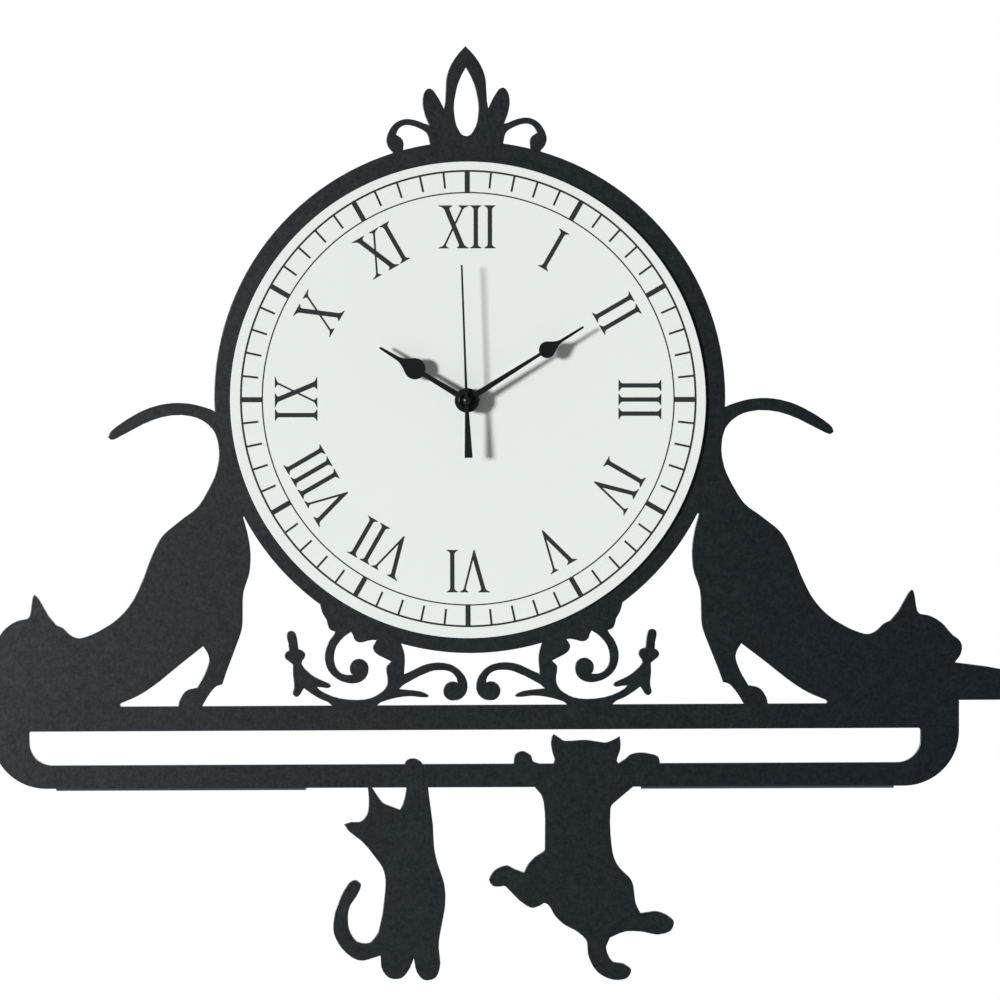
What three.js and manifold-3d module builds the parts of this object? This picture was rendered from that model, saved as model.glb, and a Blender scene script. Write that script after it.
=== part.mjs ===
// Metal wall clock: a cut steel silhouette of cats and scrolls, a round dial and a quartz movement.
// Millimetres, +Z up. The front faces -Y, and the wall is the plane Y = 0.
// The origin is the point where the wall nail bears in the hanger's keyhole.
import * as THREE from 'three';
import { mergeVertices } from 'three/addons/utils/BufferGeometryUtils.js';
import Module from 'manifold-3d';

const wasm = await Module();
wasm.setup();

// Sheet, dial and base sizes
const sheetThickness = 2;
const wallGap = 24;
const dialDiameter = 237.5;
const dialThickness = 2;
const dialSide = -0.7;
const dialDrop = 1.2;
const axisSide = -0.55;
const axisDrop = 0.7;
const rimWidth = 8.95;
const railGap = 26.2;
const topRailHeight = 12.5;
const slotHeight = 17.3;
const lowerRailHeight = 11.8;
const baseLength = 486.8;
const endWall = 19.3;
const baseCornerRadius = 27.5;
const slotCornerRadius = 11.5;
const slotTopRadius = 1;
const flangeStart = 84.5;
const flangeLength = 126.5;
const flangeDrop = 1.55;
const bendRadius = 1.5;
const stretchingCatHeight = 152.6;
const crownHeight = 47;
const scrollReach = 94.3;
const scrollBulbRadius = 4.8;
const hangingCatLength = 98;
const hangingCatOne = -30;
const hangingCatTwo = 57;

// Hanger bracket sizes
const hangInset = 43.7;
const strapWidth = 26;
const strapThickness = 1.5;
const strapFoot = 14;
const strapFlat = 34;
const strapSlope = 12;
const keyholeRadius = 4.5;
const keyholeSlot = 2.4;
const keyholeDrop = 9;

// Curve fineness
const curveSteps = 6;
const curveTolerance = 0.09;
const roundSides = 132;

// Clearances
const fitGap = 0.06;
const runGap = 0.1;
const boreGap = 0.3;
const contactGap = 0.1;
const studGap = 0.15;
const handGap = 0.4;
const coverClear = 1;
const edgeGap = 0.6;

// Movement fixing sizes
const bushDiameter = 8;
const bushFlangeDiameter = 11;
const bushFlangeThickness = 1.2;
const bushOverNut = 0.8;
const rubberDiameter = 24;
const rubberThickness = 1.6;
const washerDiameter = 11.6;
const washerThickness = 0.8;
const nutFlats = 11;
const nutThickness = 2.6;

// Hand sizes
const hubDiameter = 12.2;
const handThickness = 0.5;
const hourLength = 50.7;
const hourSpadeWidth = 10.6;
const hourSpadeReach = 20.5;
const hourRootWidth = 3.1;
const hourStemWidth = 2.35;
const hourTipWidth = 1.25;
const minuteLength = 68.3;
const minuteSpadeWidth = 8.3;
const minuteSpadeReach = 21.3;
const minuteRootWidth = 3;
const minuteStemWidth = 1.55;
const minuteTipWidth = 1.1;
const secondLength = 66.8;
const secondTail = 28.4;
const secondTailWidth = 4;
const secondRootWidth = 1.5;
const secondStemWidth = 1.1;
const secondTipWidth = 0.9;
const hourAngle = -58.4;
const minuteAngle = 58.35;
const secondAngle = -1.5;
const hourColletLength = 1.8;
const minuteColletLength = 1.2;
const colletWall = 0.9;
const minuteNutDiameter = 8;
const minuteNutThickness = 1;
const secondBossDiameter = 4;
const secondBossLength = 1.6;
const secondBossCap = 0.5;

// Pipes and arbors
const secondArborDiameter = 1;
const minutePipeWall = 0.9;
const hourPipeWall = 0.7;

// Movement case sizes
const caseSize = 56;
const wheelClear = 0.48;
const caseWall = 1.4;
const caseCorner = 3;
const partitionWall = 1.2;
const coverThickness = 1.4;
const coverGap = 0.3;
const batteryDiameter = 14.2;
const contactRoom = 1.35;
const nubDiameter = 5.5;
const nubLength = 1.3;
const batterySlack = 0.4;
const contactThickness = 0.5;
const contactSize = 10;
const screwInset = 3.6;
const screwDiameter = 1.6;
const screwHeadDiameter = 3.6;
const screwHeadHeight = 1.2;
const screwLength = 8;
const postWall = 1.5;

// Wheel train sizes
const wheelThickness = 0.8;
const layerPitch = 1.4;
const pinionOverlap = 0.1;
const rimClear = 0.4;
const magnetThickness = 2.6;
const magnetDiameter = 6;
const rotorAirGap = 0.5;
const studDiameter = 0.7;
const minuteStudDiameter = 1.1;
const hubWall = 0.25;
const pinionTeeth = 6;
const secondTeeth = 30;
const stepTeeth = 36;
const thirdTeeth = 45;
const centreTeeth = 48;
const cannonTeeth = 10;
const minuteTeeth = 30;
const hourTeeth = 24;
const knobTeeth = 10;
const stepDistance = 8.64;
const rotorDistance = 7.84;
const thirdDistance = 10.8;
const minuteDistance = 9.6;
const stepDirection = 45;
const rotorDirection = 20;
const thirdDirection = 135;
const minuteDirection = 190;
const knobDirection = 165;
const knobDiameter = 12;
const knobThickness = 3;
const knobGrooves = 18;
const knobShaftDiameter = 2.5;
const grooveDepth = 0.5;
const addendum = 0.8;
const dedendum = 1.15;
const toothTipShare = 0.22;
const toothRootShare = 0.44;

// Motor and board sizes
const statorThickness = 1;
const statorMargin = 1;
const barDepth = 4.4;
const statorEdge = 0.7;
const statorSide = 1.8;
const statorShoulder = 2.7;
const statorBridge = 1.2;
const statorPostInset = 2.2;
const coilEnd = 1.7;
const coilClear = 1.7;
const coilWinding = 1.2;
const boardThickness = 1;
const boardWidth = 14.5;
const boardHeight = 13;
const crystalDiameter = 2;
const crystalLength = 7;
const supportDiameter = 3;

// Levels along Y, from the wall to the front
const plateBack = -wallGap;
const plateFront = plateBack - sheetThickness;
const dialFront = plateFront - dialThickness;
const washerFront = dialFront - washerThickness;
const nutFront = washerFront - nutThickness;
const bushFront = nutFront - bushOverNut;
const caseFront = plateBack + rubberThickness;
const chamberFront = caseFront + caseWall;
const layer = (index) => chamberFront + rimClear + index * layerPitch;
const magnetFront = layer(5) + wheelThickness + rimClear;
const magnetBack = magnetFront + magnetThickness;
const caseRim = magnetBack + coverClear;
const coverBack = caseRim + coverThickness;
const hourHandBack = bushFront - handGap - hourColletLength;
const hourHandFront = hourHandBack - handThickness;
const minuteHandBack = hourHandFront - handGap - minuteColletLength;
const minuteHandFront = minuteHandBack - handThickness;
const minuteNutFront = minuteHandFront - minuteNutThickness;
const secondBossBack = minuteNutFront - handGap;
const secondBossFront = secondBossBack - secondBossLength;
const secondBladeFront = secondBossBack - (secondBossLength + handThickness) / 2;
const secondArborFront = secondBossFront + secondBossCap;

// Levels along Z from the dial backing's centre
const dialRadius = dialDiameter / 2;
const ringRadius = dialRadius + rimWidth;
const hangHeight = ringRadius - hangInset;
const railTop = -ringRadius - railGap;
const slotTop = railTop - topRailHeight;
const lowerRailTop = slotTop - slotHeight;
const lowerRailBottom = lowerRailTop - lowerRailHeight;

// Radii of the coaxial pipes, from the arbor outwards
const arborRadius = secondArborDiameter / 2;
const minuteBore = arborRadius + boreGap;
const minutePipeRadius = minuteBore + minutePipeWall;
const hourBore = minutePipeRadius + runGap;
const hourPipeRadius = hourBore + hourPipeWall;
const bushBore = hourPipeRadius + boreGap;
const bushRadius = bushDiameter / 2;
const bushHole = bushRadius + boreGap;

// Plain finishes
const finish = (color, roughness, metalness) =>
  new THREE.MeshStandardMaterial({ color, roughness, metalness });
const powderCoat = finish(0x2f3539, 0.75, 0.1);
const dialPaint = finish(0xe6ebe7, 0.6, 0);
const handPaint = finish(0x14181a, 0.5, 0.1);
const steel = finish(0xb4b7ba, 0.35, 0.9);
const brass = finish(0xb89a4a, 0.35, 0.9);
const blackPlastic = finish(0x1c1d1f, 0.55, 0);
const whitePlastic = finish(0xdedbd0, 0.5, 0);
const rubber = finish(0x262626, 0.9, 0);
const copper = finish(0xa8622f, 0.4, 0.8);
const greenBoard = finish(0x2c5a3a, 0.6, 0);
const batterySleeve = finish(0x3b4a5e, 0.4, 0.3);
const magnetGrey = finish(0x4a4a4e, 0.5, 0.4);

// Drops points of a run that lie closer than the tolerance to the chord across them.
function thinned(points, tolerance) {
  const [firstX, firstZ] = points[0];
  const [lastX, lastZ] = points[points.length - 1];
  const length = Math.hypot(lastX - firstX, lastZ - firstZ) || 1;
  const distances = points.map(([x, z]) =>
    Math.abs((lastX - firstX) * (firstZ - z) - (firstX - x) * (lastZ - firstZ)) / length);
  const farthest = distances.indexOf(Math.max(...distances));
  if (points.length < 3 || distances[farthest] < tolerance) return [points[0], points[points.length - 1]];
  const before = thinned(points.slice(0, farthest + 1), tolerance);
  return [...before.slice(0, -1), ...thinned(points.slice(farthest), tolerance)];
}

// A smooth open stretch through chosen points.
function smooth(points) {
  if (points.length < 3) return points;
  const curve = new THREE.CatmullRomCurve3(
    points.map(([x, z]) => new THREE.Vector3(x, z, 0)), false, 'centripetal');
  const fine = curve.getPoints((points.length - 1) * curveSteps).map((point) => [point.x, point.y]);
  return thinned(fine, curveTolerance);
}

// Joins stretches into one outline: each stretch is smooth, and they meet at corners.
const samePoint = 0.02;

function outline(...stretches) {
  const joined = stretches.flatMap((stretch) => smooth(stretch));
  return joined.filter(([x, z], index) => {
    const [lastX, lastZ] = joined[(index + joined.length - 1) % joined.length];
    return Math.hypot(x - lastX, z - lastZ) > samePoint;
  });
}

const mirrored = (points) => points.map(([x, z]) => [-x, z]).reverse();
const shapeOf = (points) => new THREE.Shape(points.map(([x, z]) => new THREE.Vector2(x, z)));

// Extrudes an XZ outline between two levels along Y. A full circle in it gets the given number of sides.
function prism(shape, front, back, sides = 24) {
  const options = { depth: back - front, bevelEnabled: false, curveSegments: sides / 2 };
  const geometry = new THREE.ExtrudeGeometry(shape, options);
  geometry.rotateX(Math.PI / 2);
  geometry.translate(0, back, 0);
  return geometry;
}

function circle(radius, x = 0, z = 0) {
  const shape = new THREE.Shape();
  shape.absarc(x, z, radius, 0, Math.PI * 2, false);
  return shape;
}

// A round bar along Y, with an optional bore.
function bar(radius, front, back, { x = 0, z = 0, bore = 0, sides = 24 } = {}) {
  const shape = circle(radius, x, z);
  if (bore > 0) shape.holes.push(circle(bore, x, z));
  return prism(shape, front, back, sides);
}

function rectangle(left, right, bottom, top) {
  return shapeOf([[left, bottom], [right, bottom], [right, top], [left, top]]);
}

// A rectangle whose lower and upper corners have their own radii.
function roundedRectangle(left, right, bottom, top, lower, upper) {
  const shape = new THREE.Shape();
  shape.moveTo(left + lower, bottom);
  shape.absarc(right - lower, bottom + lower, lower, -Math.PI / 2, 0, false);
  shape.absarc(right - upper, top - upper, upper, 0, Math.PI / 2, false);
  shape.absarc(left + upper, top - upper, upper, Math.PI / 2, Math.PI, false);
  shape.absarc(left + lower, bottom + lower, lower, Math.PI, Math.PI * 1.5, false);
  return shape;
}

function block(left, right, front, back, bottom, top) {
  const geometry = new THREE.BoxGeometry(right - left, back - front, top - bottom);
  geometry.translate((left + right) / 2, (front + back) / 2, (bottom + top) / 2);
  return geometry;
}

function solidOf(geometry) {
  const bare = geometry.clone();
  bare.deleteAttribute('normal');
  bare.deleteAttribute('uv');
  const merged = mergeVertices(bare, 1e-5);
  const vertProperties = new Float32Array(merged.attributes.position.array);
  const triVerts = new Uint32Array(merged.index.array);
  return new wasm.Manifold(new wasm.Mesh({ numProp: 3, vertProperties, triVerts }));
}

function geometryOf(solid) {
  const mesh = solid.getMesh();
  const geometry = new THREE.BufferGeometry();
  geometry.setAttribute('position', new THREE.BufferAttribute(new Float32Array(mesh.vertProperties), 3));
  geometry.setIndex(new THREE.BufferAttribute(new Uint32Array(mesh.triVerts), 1));
  geometry.computeVertexNormals();
  return geometry;
}

const joinSolids = (geometries) => geometries.map(solidOf).reduce((whole, next) => whole.add(next));
const join = (...geometries) => geometryOf(joinSolids(geometries));

// Joins the first list and takes the second list away from it.
function carve(kept, removed) {
  const body = joinSolids(kept);
  return geometryOf(removed.map(solidOf).reduce((rest, tool) => rest.subtract(tool), body));
}

const clock = new THREE.Group();
const frame = new THREE.Group();
frame.position.z = -hangHeight;
clock.add(frame);
const handAxis = new THREE.Group();
handAxis.position.set(axisSide, 0, -axisDrop);
frame.add(handAxis);

function piece(name, geometry, material, parent, turn = 0) {
  const mesh = new THREE.Mesh(geometry, material);
  mesh.name = name;
  mesh.rotation.y = THREE.MathUtils.degToRad(turn);
  parent.add(mesh);
  return mesh;
}

// Stretching cat, from the tail's tip round to the ear. Points are measured outwards from the side of the
// dial backing and upwards from the top rail, so the cat follows both. It is drawn 152.6 high.
function stretchingCat() {
  const scale = stretchingCatHeight / 152.6;
  const sunk = -topRailHeight / 2;
  const end = (baseLength / 2 - ringRadius) / scale;
  const local = outline(
    [[53.7, 135.9], [53, 138], [51.5, 139.7], [42.3, 146], [32.3, 150.7], [22.3, 152.8], [12.4, 152.5],
      [3, 150], [-2, 147.8]],
    [[-14, 142], [-20, 105]],
    [[-13.6, 95.2], [-15.9, 86.4], [-17.1, 76.9], [-16.4, 67.3], [-13.2, 57.3], [-12.7, 48.9], [-12.3, 39.7],
      [-8.9, 29.5], [-4, 17.1], [-1.9, 11]],
    [[-1.9, 11], [1, 10.1], [4.8, 6], [8.4, 0.1]],
    [[8.3, sunk], [20.2, sunk]],
    [[20.5, 0], [19.8, 3.2], [16.4, 7.9], [10.8, 9.4]],
    [[10.8, 9.4], [6.9, 16.3], [4.5, 23.4], [5.1, 26.6], [7.4, 30.4]],
    [[7.4, 30.4], [11.6, 27.2], [21.4, 19.5], [31.6, 11.3], [40.7, 5.5], [49.3, 1.8]],
    [[49.3, 1.8], [50.1, 1], [49.6, 0]],
    [[49.6, sunk], [end, sunk]],
    [[end, 1.4], [145, 1.4]],
    [[145, 1.4], [150, 3], [151.6, 8], [148, 13], [136.1, 16.9], [113.6, 20.3]],
    [[113.6, 20.3], [116.6, 24.6], [117.1, 29], [115.6, 31.8], [113.2, 33.5], [110.6, 36.2], [108.5, 38.9],
      [105.3, 41.6], [101.6, 43.6], [96.4, 44.7]],
    [[96.4, 44.7], [95.2, 45.9], [94.6, 47.7], [93.4, 55.2], [92.5, 56.8], [91.2, 55.9], [87.8, 50.3],
      [85.5, 46.1], [81.7, 41.5]],
    [[81.7, 41.5], [77.8, 39.5], [74.7, 36.4], [72.4, 35.1], [69.9, 34.7], [61.9, 37.4], [51.1, 44],
      [43.7, 52], [37.9, 63], [32.9, 75.7], [27.4, 85.8], [17.4, 94.3], [9.4, 100.4], [3.7, 109.1],
      [-0.6, 118.6], [-2, 128.5], [0.2, 138.3], [6.4, 144.2], [14.9, 146.7], [24.8, 146.2], [34.5, 143.1],
      [44.3, 138.1], [52, 134.7], [53.7, 135.9]]);
  return local.map(([out, up]) => [ringRadius + out * scale, railTop + up * scale]);
}

// Right half of the crown: bud, leaf and side curl. Heights are measured from the top of the dial backing,
// and it is drawn 47 high.
function crown() {
  const scale = crownHeight / 47;
  const sunk = -rimWidth;
  const half = outline(
    [[0, 47], [4.6, 42], [8.2, 36], [9.8, 30.5], [10.1, 25.6], [10.5, 18.8], [11, 16.2]],
    [[11, 16.2], [13.3, 21], [14.7, 23.3], [16.4, 25.5], [18.5, 26.3], [20.5, 24.8], [21.7, 19.5],
      [20.6, 13.1], [18.8, 8.5]],
    [[18.8, 8.5], [20.9, 9], [23.1, 10], [27.9, 11.3], [31.3, 11.2], [34.3, 10.1], [36.7, 8.2], [38.4, 5.7],
      [39.7, 2.6], [39.9, 0.1], [38.8, -2.8], [37, -4.8]],
    [[36, sunk], [31.6, sunk]],
    [[31.6, -4.2], [31.3, -0.3], [32.3, 1.9], [35, 3.8]],
    [[35, 3.8], [33.7, 6.5], [31.9, 7.9], [29.4, 8.4], [24.5, 7.2], [19.7, 4.1], [18.3, -1]],
    [[16, sunk], [0, sunk]]);
  const eye = outline(
    [[0, 2.6], [1, 2.7], [2.4, 3.6], [3.6, 5.3], [5, 8.3], [6, 14.5], [6, 18.5], [5.4, 22.4], [4.1, 28],
      [2.2, 32.5], [0, 36.5]]);
  const lifted = (points) => points.map(([x, up]) => [x * scale, ringRadius + up * scale]);
  return { body: lifted([...half, ...mirrored(half)]), eye: lifted([...eye, ...mirrored(eye)]) };
}

// Right-hand scroll between the dial backing and the base. It is drawn 94.3 wide, for a gap of 26.2 between
// the two, with heights from the top rail, and follows the reach and the gap that are set.
function scroll() {
  const place = ([x, up]) => [(x * scrollReach) / 94.3, railTop + (up * railGap) / 26.2];
  const local = outline(
    [[37, 36], [35, 30.4], [33.6, 25.5], [33.6, 20.4], [34, 15.7]],
    [[34, 15.7], [29.9, 17.5], [25.8, 19.6], [21.9, 20.9], [17.3, 21.5], [13.3, 21.2], [9.3, 20],
      [5.7, 17.4], [3, 13.6], [2.1, 9.5], [2.8, 6.2], [4.6, 3.9], [7, 2.6], [9.6, 2.3]],
    [[9.6, 7.1], [7.3, 11.4]],
    [[7.3, 11.4], [7.6, 13.5], [9.3, 15.9], [11.9, 17.3], [15.4, 17.7], [19.4, 17.4], [23.2, 16.1],
      [26.8, 14.5], [30.9, 12.2], [34.5, 10.2], [36.6, 8.2]],
    [[36.6, 8.2], [33.2, 7.8], [30.1, 7.6], [26, 7], [23.6, 6.2], [21.7, 5]],
    [[21.7, 5], [21.8, 4.3], [23, 4], [26.1, 4.1], [30.1, 4.6], [34.6, 4.4], [39.7, 3.5], [43.8, 2.3],
      [46.2, 1.4], [47.8, 0]],
    [[49, -5], [69, -5]],
    [[70.4, 0], [72.4, 1.8], [76.4, 3.5], [80.3, 5.8], [84.5, 8.9]],
    [[84.5, 8.9], [85.6, 7.3], [86.7, 5.4], [88.5, 4.5], [90.2, 6], [89.6, 9.1], [89.5, 11.6], [90, 15.7],
      [89.9, 20.9]],
    [[89.9, 20.9], [92, 22.6], [93.7, 24.1], [94.1, 25.7], [93.1, 27.3], [91.9, 28.1]],
    [[91.9, 28.1], [92.1, 31.5], [92.9, 35.7], [92.1, 37.5], [90.6, 37.9], [89.2, 37.5], [88.2, 36],
      [87.5, 32.5], [87.1, 28.7]],
    [[87.1, 28.7], [85, 27.9], [83.7, 26.2], [84, 24.4], [85.3, 22.5], [85.6, 21.2]],
    [[85.6, 21.2], [84.5, 19.4], [82.1, 16.9], [79.6, 15], [77.2, 13.6], [74.2, 12.2], [71.6, 11], [71, 9.7],
      [72.3, 8.9], [75.4, 9.3], [78.1, 9.5]],
    [[78.1, 9.5], [76.6, 7.9], [73.7, 6.2], [70.3, 4.7], [66.4, 3.6], [61.3, 2.9], [56.3, 2.8], [52.3, 3.3],
      [48.8, 4.6], [45.9, 6.4], [43.9, 8.2], [42.6, 10.9], [42.4, 13.9], [42.9, 17], [42.9, 19.5],
      [40.4, 22.2]],
    [[40.4, 22.2], [43.6, 23.8], [47, 25.6], [48.9, 27.3], [49.6, 29.6], [48.7, 31.5], [47.7, 33]],
    [[47.7, 33], [49.9, 33.1], [52.8, 32.5], [54.9, 31.9], [57.2, 32.1], [58.9, 33.6], [59.4, 35.5],
      [60.4, 37.2]],
    [[60.4, 37.2], [63.3, 35.3], [65.8, 32.9], [68, 29.7], [69.1, 25.7], [69.1, 22.1], [68.1, 19],
      [66.1, 16.7], [63.7, 15.6], [60.3, 15.5]],
    [[56.6, 18.8], [51.8, 18.8]],
    [[51.8, 18.8], [52.1, 16.4], [53.4, 13.9], [56.4, 11.8], [61, 11.2], [65.7, 12.4], [68.9, 14.3],
      [71.4, 16.8], [73.1, 20.1], [73.9, 24.2], [73.4, 28.2], [71.6, 32.6], [69.5, 35.4], [68.4, 37.3]],
    [[68.4, 37.3], [70.9, 38.4], [72, 40.4], [72.7, 43.4], [74.4, 46.1], [75.3, 48.6], [75.9, 51]],
    [[73, 58], [55, 47]]);
  const bulbs = [[9.6, 7.1], [56.6, 18.8]];
  return { body: local.map(place), bulbs: bulbs.map(place) };
}

// Hanging cats. Paws are measured up from the lower rail's top edge, bodies down from its bottom edge, and
// both sideways from the cat's own station. They are drawn 98 long.
const hangScale = hangingCatLength / 98;
const inRail = lowerRailHeight / 4 / hangScale;
const above = (points) => points.map(([x, up]) => [x * hangScale, lowerRailTop + up * hangScale]);
const below = (points) => points.map(([x, down]) => [x * hangScale, lowerRailBottom + down * hangScale]);

function firstHangingCat() {
  const local = outline(
    above([[-4.3, -inRail], [-4, 1], [-2.2, 2.5], [0.3, 2.9], [2.7, 2.2], [4.8, 0.3], [5.5, -inRail]]),
    below([[7.4, inRail], [7.5, 0], [8.4, -8.8], [9.7, -19], [10.3, -31.5], [12, -39.3], [15.2, -49.5],
      [15.5, -59.7], [13.6, -70], [12, -80], [12.6, -91], [10, -97], [4.5, -98], [0.8, -94], [-0.6, -87]]),
    below([[-0.6, -87], [-3, -92.5], [-7, -97], [-13, -97], [-16.8, -92.5], [-17.5, -85.5]]),
    below([[-17.5, -85.5], [-28, -88], [-36, -83], [-41, -74], [-40.6, -64.4], [-39.3, -60.4],
      [-36.2, -53.1], [-32.4, -48], [-29.4, -47.1], [-27, -49.3], [-29.1, -55], [-32.6, -60.1],
      [-33.8, -65.5], [-33, -73], [-29, -78.5], [-23, -79], [-18.5, -73.5]]),
    below([[-18.5, -73.5], [-16.4, -64.4], [-15.2, -55.5], [-14.6, -46.9], [-15.9, -40.9], [-20, -34.7],
      [-26.2, -27.3], [-32.4, -22.4], [-35.2, -18.6]]),
    below([[-35.2, -18.6], [-31.6, -17.5], [-26.6, -17.2], [-23.3, -12.8], [-22.5, -6.2], [-22.9, 0.2],
      [-22.8, inRail]]),
    below([[-20.8, inRail], [-20.8, 0.1], [-18.3, -3.9], [-15.4, -7.7], [-10.4, -9.9], [-6.9, -11.3]]),
    below([[-6.9, -11.3], [-5.4, -8.3], [-3.9, -2.7], [-3.5, 0.1], [-3.4, inRail]]));
  return local.map(([x, z]) => [hangingCatOne + x, z]);
}

function secondHangingCat() {
  const local = outline(
    above([[-36.3, -inRail], [-36.4, 0.6], [-35.6, 4.6], [-31.9, 6.4], [-27.6, 4.2], [-26.6, 1.3],
      [-23.6, 0.1]]),
    above([[-23, -inRail], [-17, -inRail]]),
    above([[-16.5, 0.1], [-15.8, 2.4], [-16.7, 5.2], [-17.6, 10.5], [-17.3, 13], [-16.2, 15]]),
    above([[-16.2, 15], [-14.4, 13.9], [-11, 11.6], [-7.9, 11.4], [-0.4, 11.9], [6.6, 10.9], [9.8, 10.5],
      [14.2, 12.1], [17.1, 13.7]]),
    above([[17.1, 13.7], [17.5, 9.4], [17.1, 6.3], [15.5, 1.5], [16.3, 0]]),
    above([[16.3, 0], [19.8, 2.3], [22.1, 4.3], [27.1, 5.4], [34, 4.4], [36.3, 3.2], [37.1, 0.1],
      [37.3, -inRail]]),
    below([[26.5, inRail], [26.2, 0.3], [24, 0.2], [21.2, -2.1], [15.7, -6.7], [12.6, -9.7], [12, -14],
      [12, -21.8], [12.9, -32], [13.9, -36.4], [16.1, -40.6], [21.7, -46.4], [23.1, -49.2],
      [23.7, -52.3], [24.6, -59.4], [26.9, -64.2]]),
    below([[26.9, -64.2], [31.1, -63.6], [34.6, -63.2], [39.7, -64.8], [43.6, -68.5], [42, -73], [36, -75],
      [27, -73.5], [19, -73.5], [11.5, -76.5]]),
    below([[11.5, -76.5], [9.5, -82], [12.5, -88.5], [18.5, -90], [22, -93], [20, -97], [13, -98], [5, -94],
      [0.5, -86], [-0.5, -78], [-5, -73.5], [-12, -69.5], [-16.7, -64.6], [-18.7, -60.8], [-20.2, -59.3],
      [-21.7, -58.9], [-23.6, -60.1], [-27.7, -61.3], [-33.3, -58.2], [-38.4, -53.1], [-41.3, -50.2],
      [-44.3, -50.5], [-47.3, -50.1], [-49.3, -46.8], [-48, -44], [-45.7, -41.7], [-40.1, -39.8],
      [-36.1, -41.7], [-31.6, -43.4]]),
    below([[-31.6, -43.4], [-30.1, -39.9], [-26, -35.4], [-21.4, -32.3], [-21.1, -29], [-21.1, -10.6],
      [-22.5, -4.2], [-25.7, 0], [-26.2, inRail]]));
  return local.map(([x, z]) => [hangingCatTwo + x, z]);
}

// One strip of the lower edge, folded back to the wall round an inside bend.
function flange(side) {
  const bottom = lowerRailBottom - flangeDrop;
  const outer = bendRadius + sheetThickness;
  const section = new THREE.Shape();
  section.moveTo(plateFront, lowerRailBottom + 2 * outer);
  section.lineTo(plateFront, bottom + outer);
  section.absarc(plateFront + outer, bottom + outer, outer, Math.PI, Math.PI * 1.5, false);
  section.lineTo(0, bottom);
  section.lineTo(0, bottom + sheetThickness);
  section.absarc(plateFront + outer, bottom + outer, bendRadius, Math.PI * 1.5, Math.PI, true);
  section.lineTo(plateBack, lowerRailBottom + 2 * outer);
  const geometry = new THREE.ExtrudeGeometry(section, {
    depth: flangeLength, bevelEnabled: false, curveSegments: 8,
  });
  geometry.rotateX(Math.PI / 2);
  geometry.rotateZ(Math.PI / 2);
  geometry.translate(side > 0 ? flangeStart : -flangeStart - flangeLength, 0, 0);
  return geometry;
}

// The whole silhouette is one sheet: dial backing, base, cats, crown and scrolls.
function framePlate() {
  const sheet = (shape, sides) => prism(shape, plateFront, plateBack, sides);
  const baseEnd = baseLength / 2;
  const slotEnd = baseEnd - endWall;
  const base = roundedRectangle(-baseEnd, baseEnd, lowerRailBottom, railTop, baseCornerRadius, 0.5);
  base.holes.push(roundedRectangle(
    -slotEnd, slotEnd, lowerRailTop, slotTop, slotCornerRadius, slotTopRadius));
  const cat = stretchingCat();
  const crest = crown();
  const ornament = scroll();
  const crestShape = shapeOf(crest.body);
  crestShape.holes.push(new THREE.Path(crest.eye.map(([x, z]) => new THREE.Vector2(x, z))));
  const bulbDiscs = ornament.bulbs.flatMap(([x, z]) => [
    sheet(circle(scrollBulbRadius, x, z)), sheet(circle(scrollBulbRadius, -x, z))]);
  const kept = [
    sheet(circle(ringRadius), roundSides),
    sheet(base),
    sheet(shapeOf(cat)),
    sheet(shapeOf(mirrored(cat))),
    sheet(crestShape),
    sheet(shapeOf(ornament.body)),
    sheet(shapeOf(mirrored(ornament.body))),
    ...bulbDiscs,
    sheet(shapeOf(firstHangingCat())),
    sheet(shapeOf(secondHangingCat())),
    flange(-1),
    flange(1),
  ];
  const hole = bar(bushHole, plateFront - 1, plateBack + 1, { x: axisSide, z: -axisDrop });
  return carve(kept, [hole]);
}
piece('frame_plate', framePlate(), powderCoat, frame);

// Hanger bracket: a hat-shaped strap with its feet on the sheet and its flat in the wall plane.
function hangerBracket() {
  const half = strapFlat / 2;
  const slopeEnd = half + strapSlope;
  const footEnd = slopeEnd + strapFoot;
  const low = plateBack;
  const rise = strapThickness;
  const face = [
    [low, -footEnd], [low, -slopeEnd], [-rise, -half], [-rise, half], [low, slopeEnd], [low, footEnd]];
  const back = [
    [low + rise, footEnd], [low + rise, slopeEnd + rise / 2], [0, half + rise / 2],
    [0, -half - rise / 2], [low + rise, -slopeEnd - rise / 2], [low + rise, -footEnd]];
  const strap = new THREE.ExtrudeGeometry(shapeOf([...face, ...back]), {
    depth: strapWidth, bevelEnabled: false,
  });
  strap.rotateX(Math.PI / 2);
  strap.rotateZ(Math.PI / 2);
  strap.translate(-strapWidth / 2, 0, hangHeight);
  const cutFront = -strapThickness - 1;
  const slot = rectangle(-keyholeSlot, keyholeSlot, hangHeight - keyholeDrop, hangHeight);
  const keyhole = [
    bar(keyholeRadius, cutFront, 1, { z: hangHeight - keyholeDrop }),
    prism(slot, cutFront, 1),
    bar(keyholeSlot, cutFront, 1, { z: hangHeight }),
  ];
  return carve([strap], keyhole);
}
piece('hanger_bracket', hangerBracket(), steel, frame);

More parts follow.
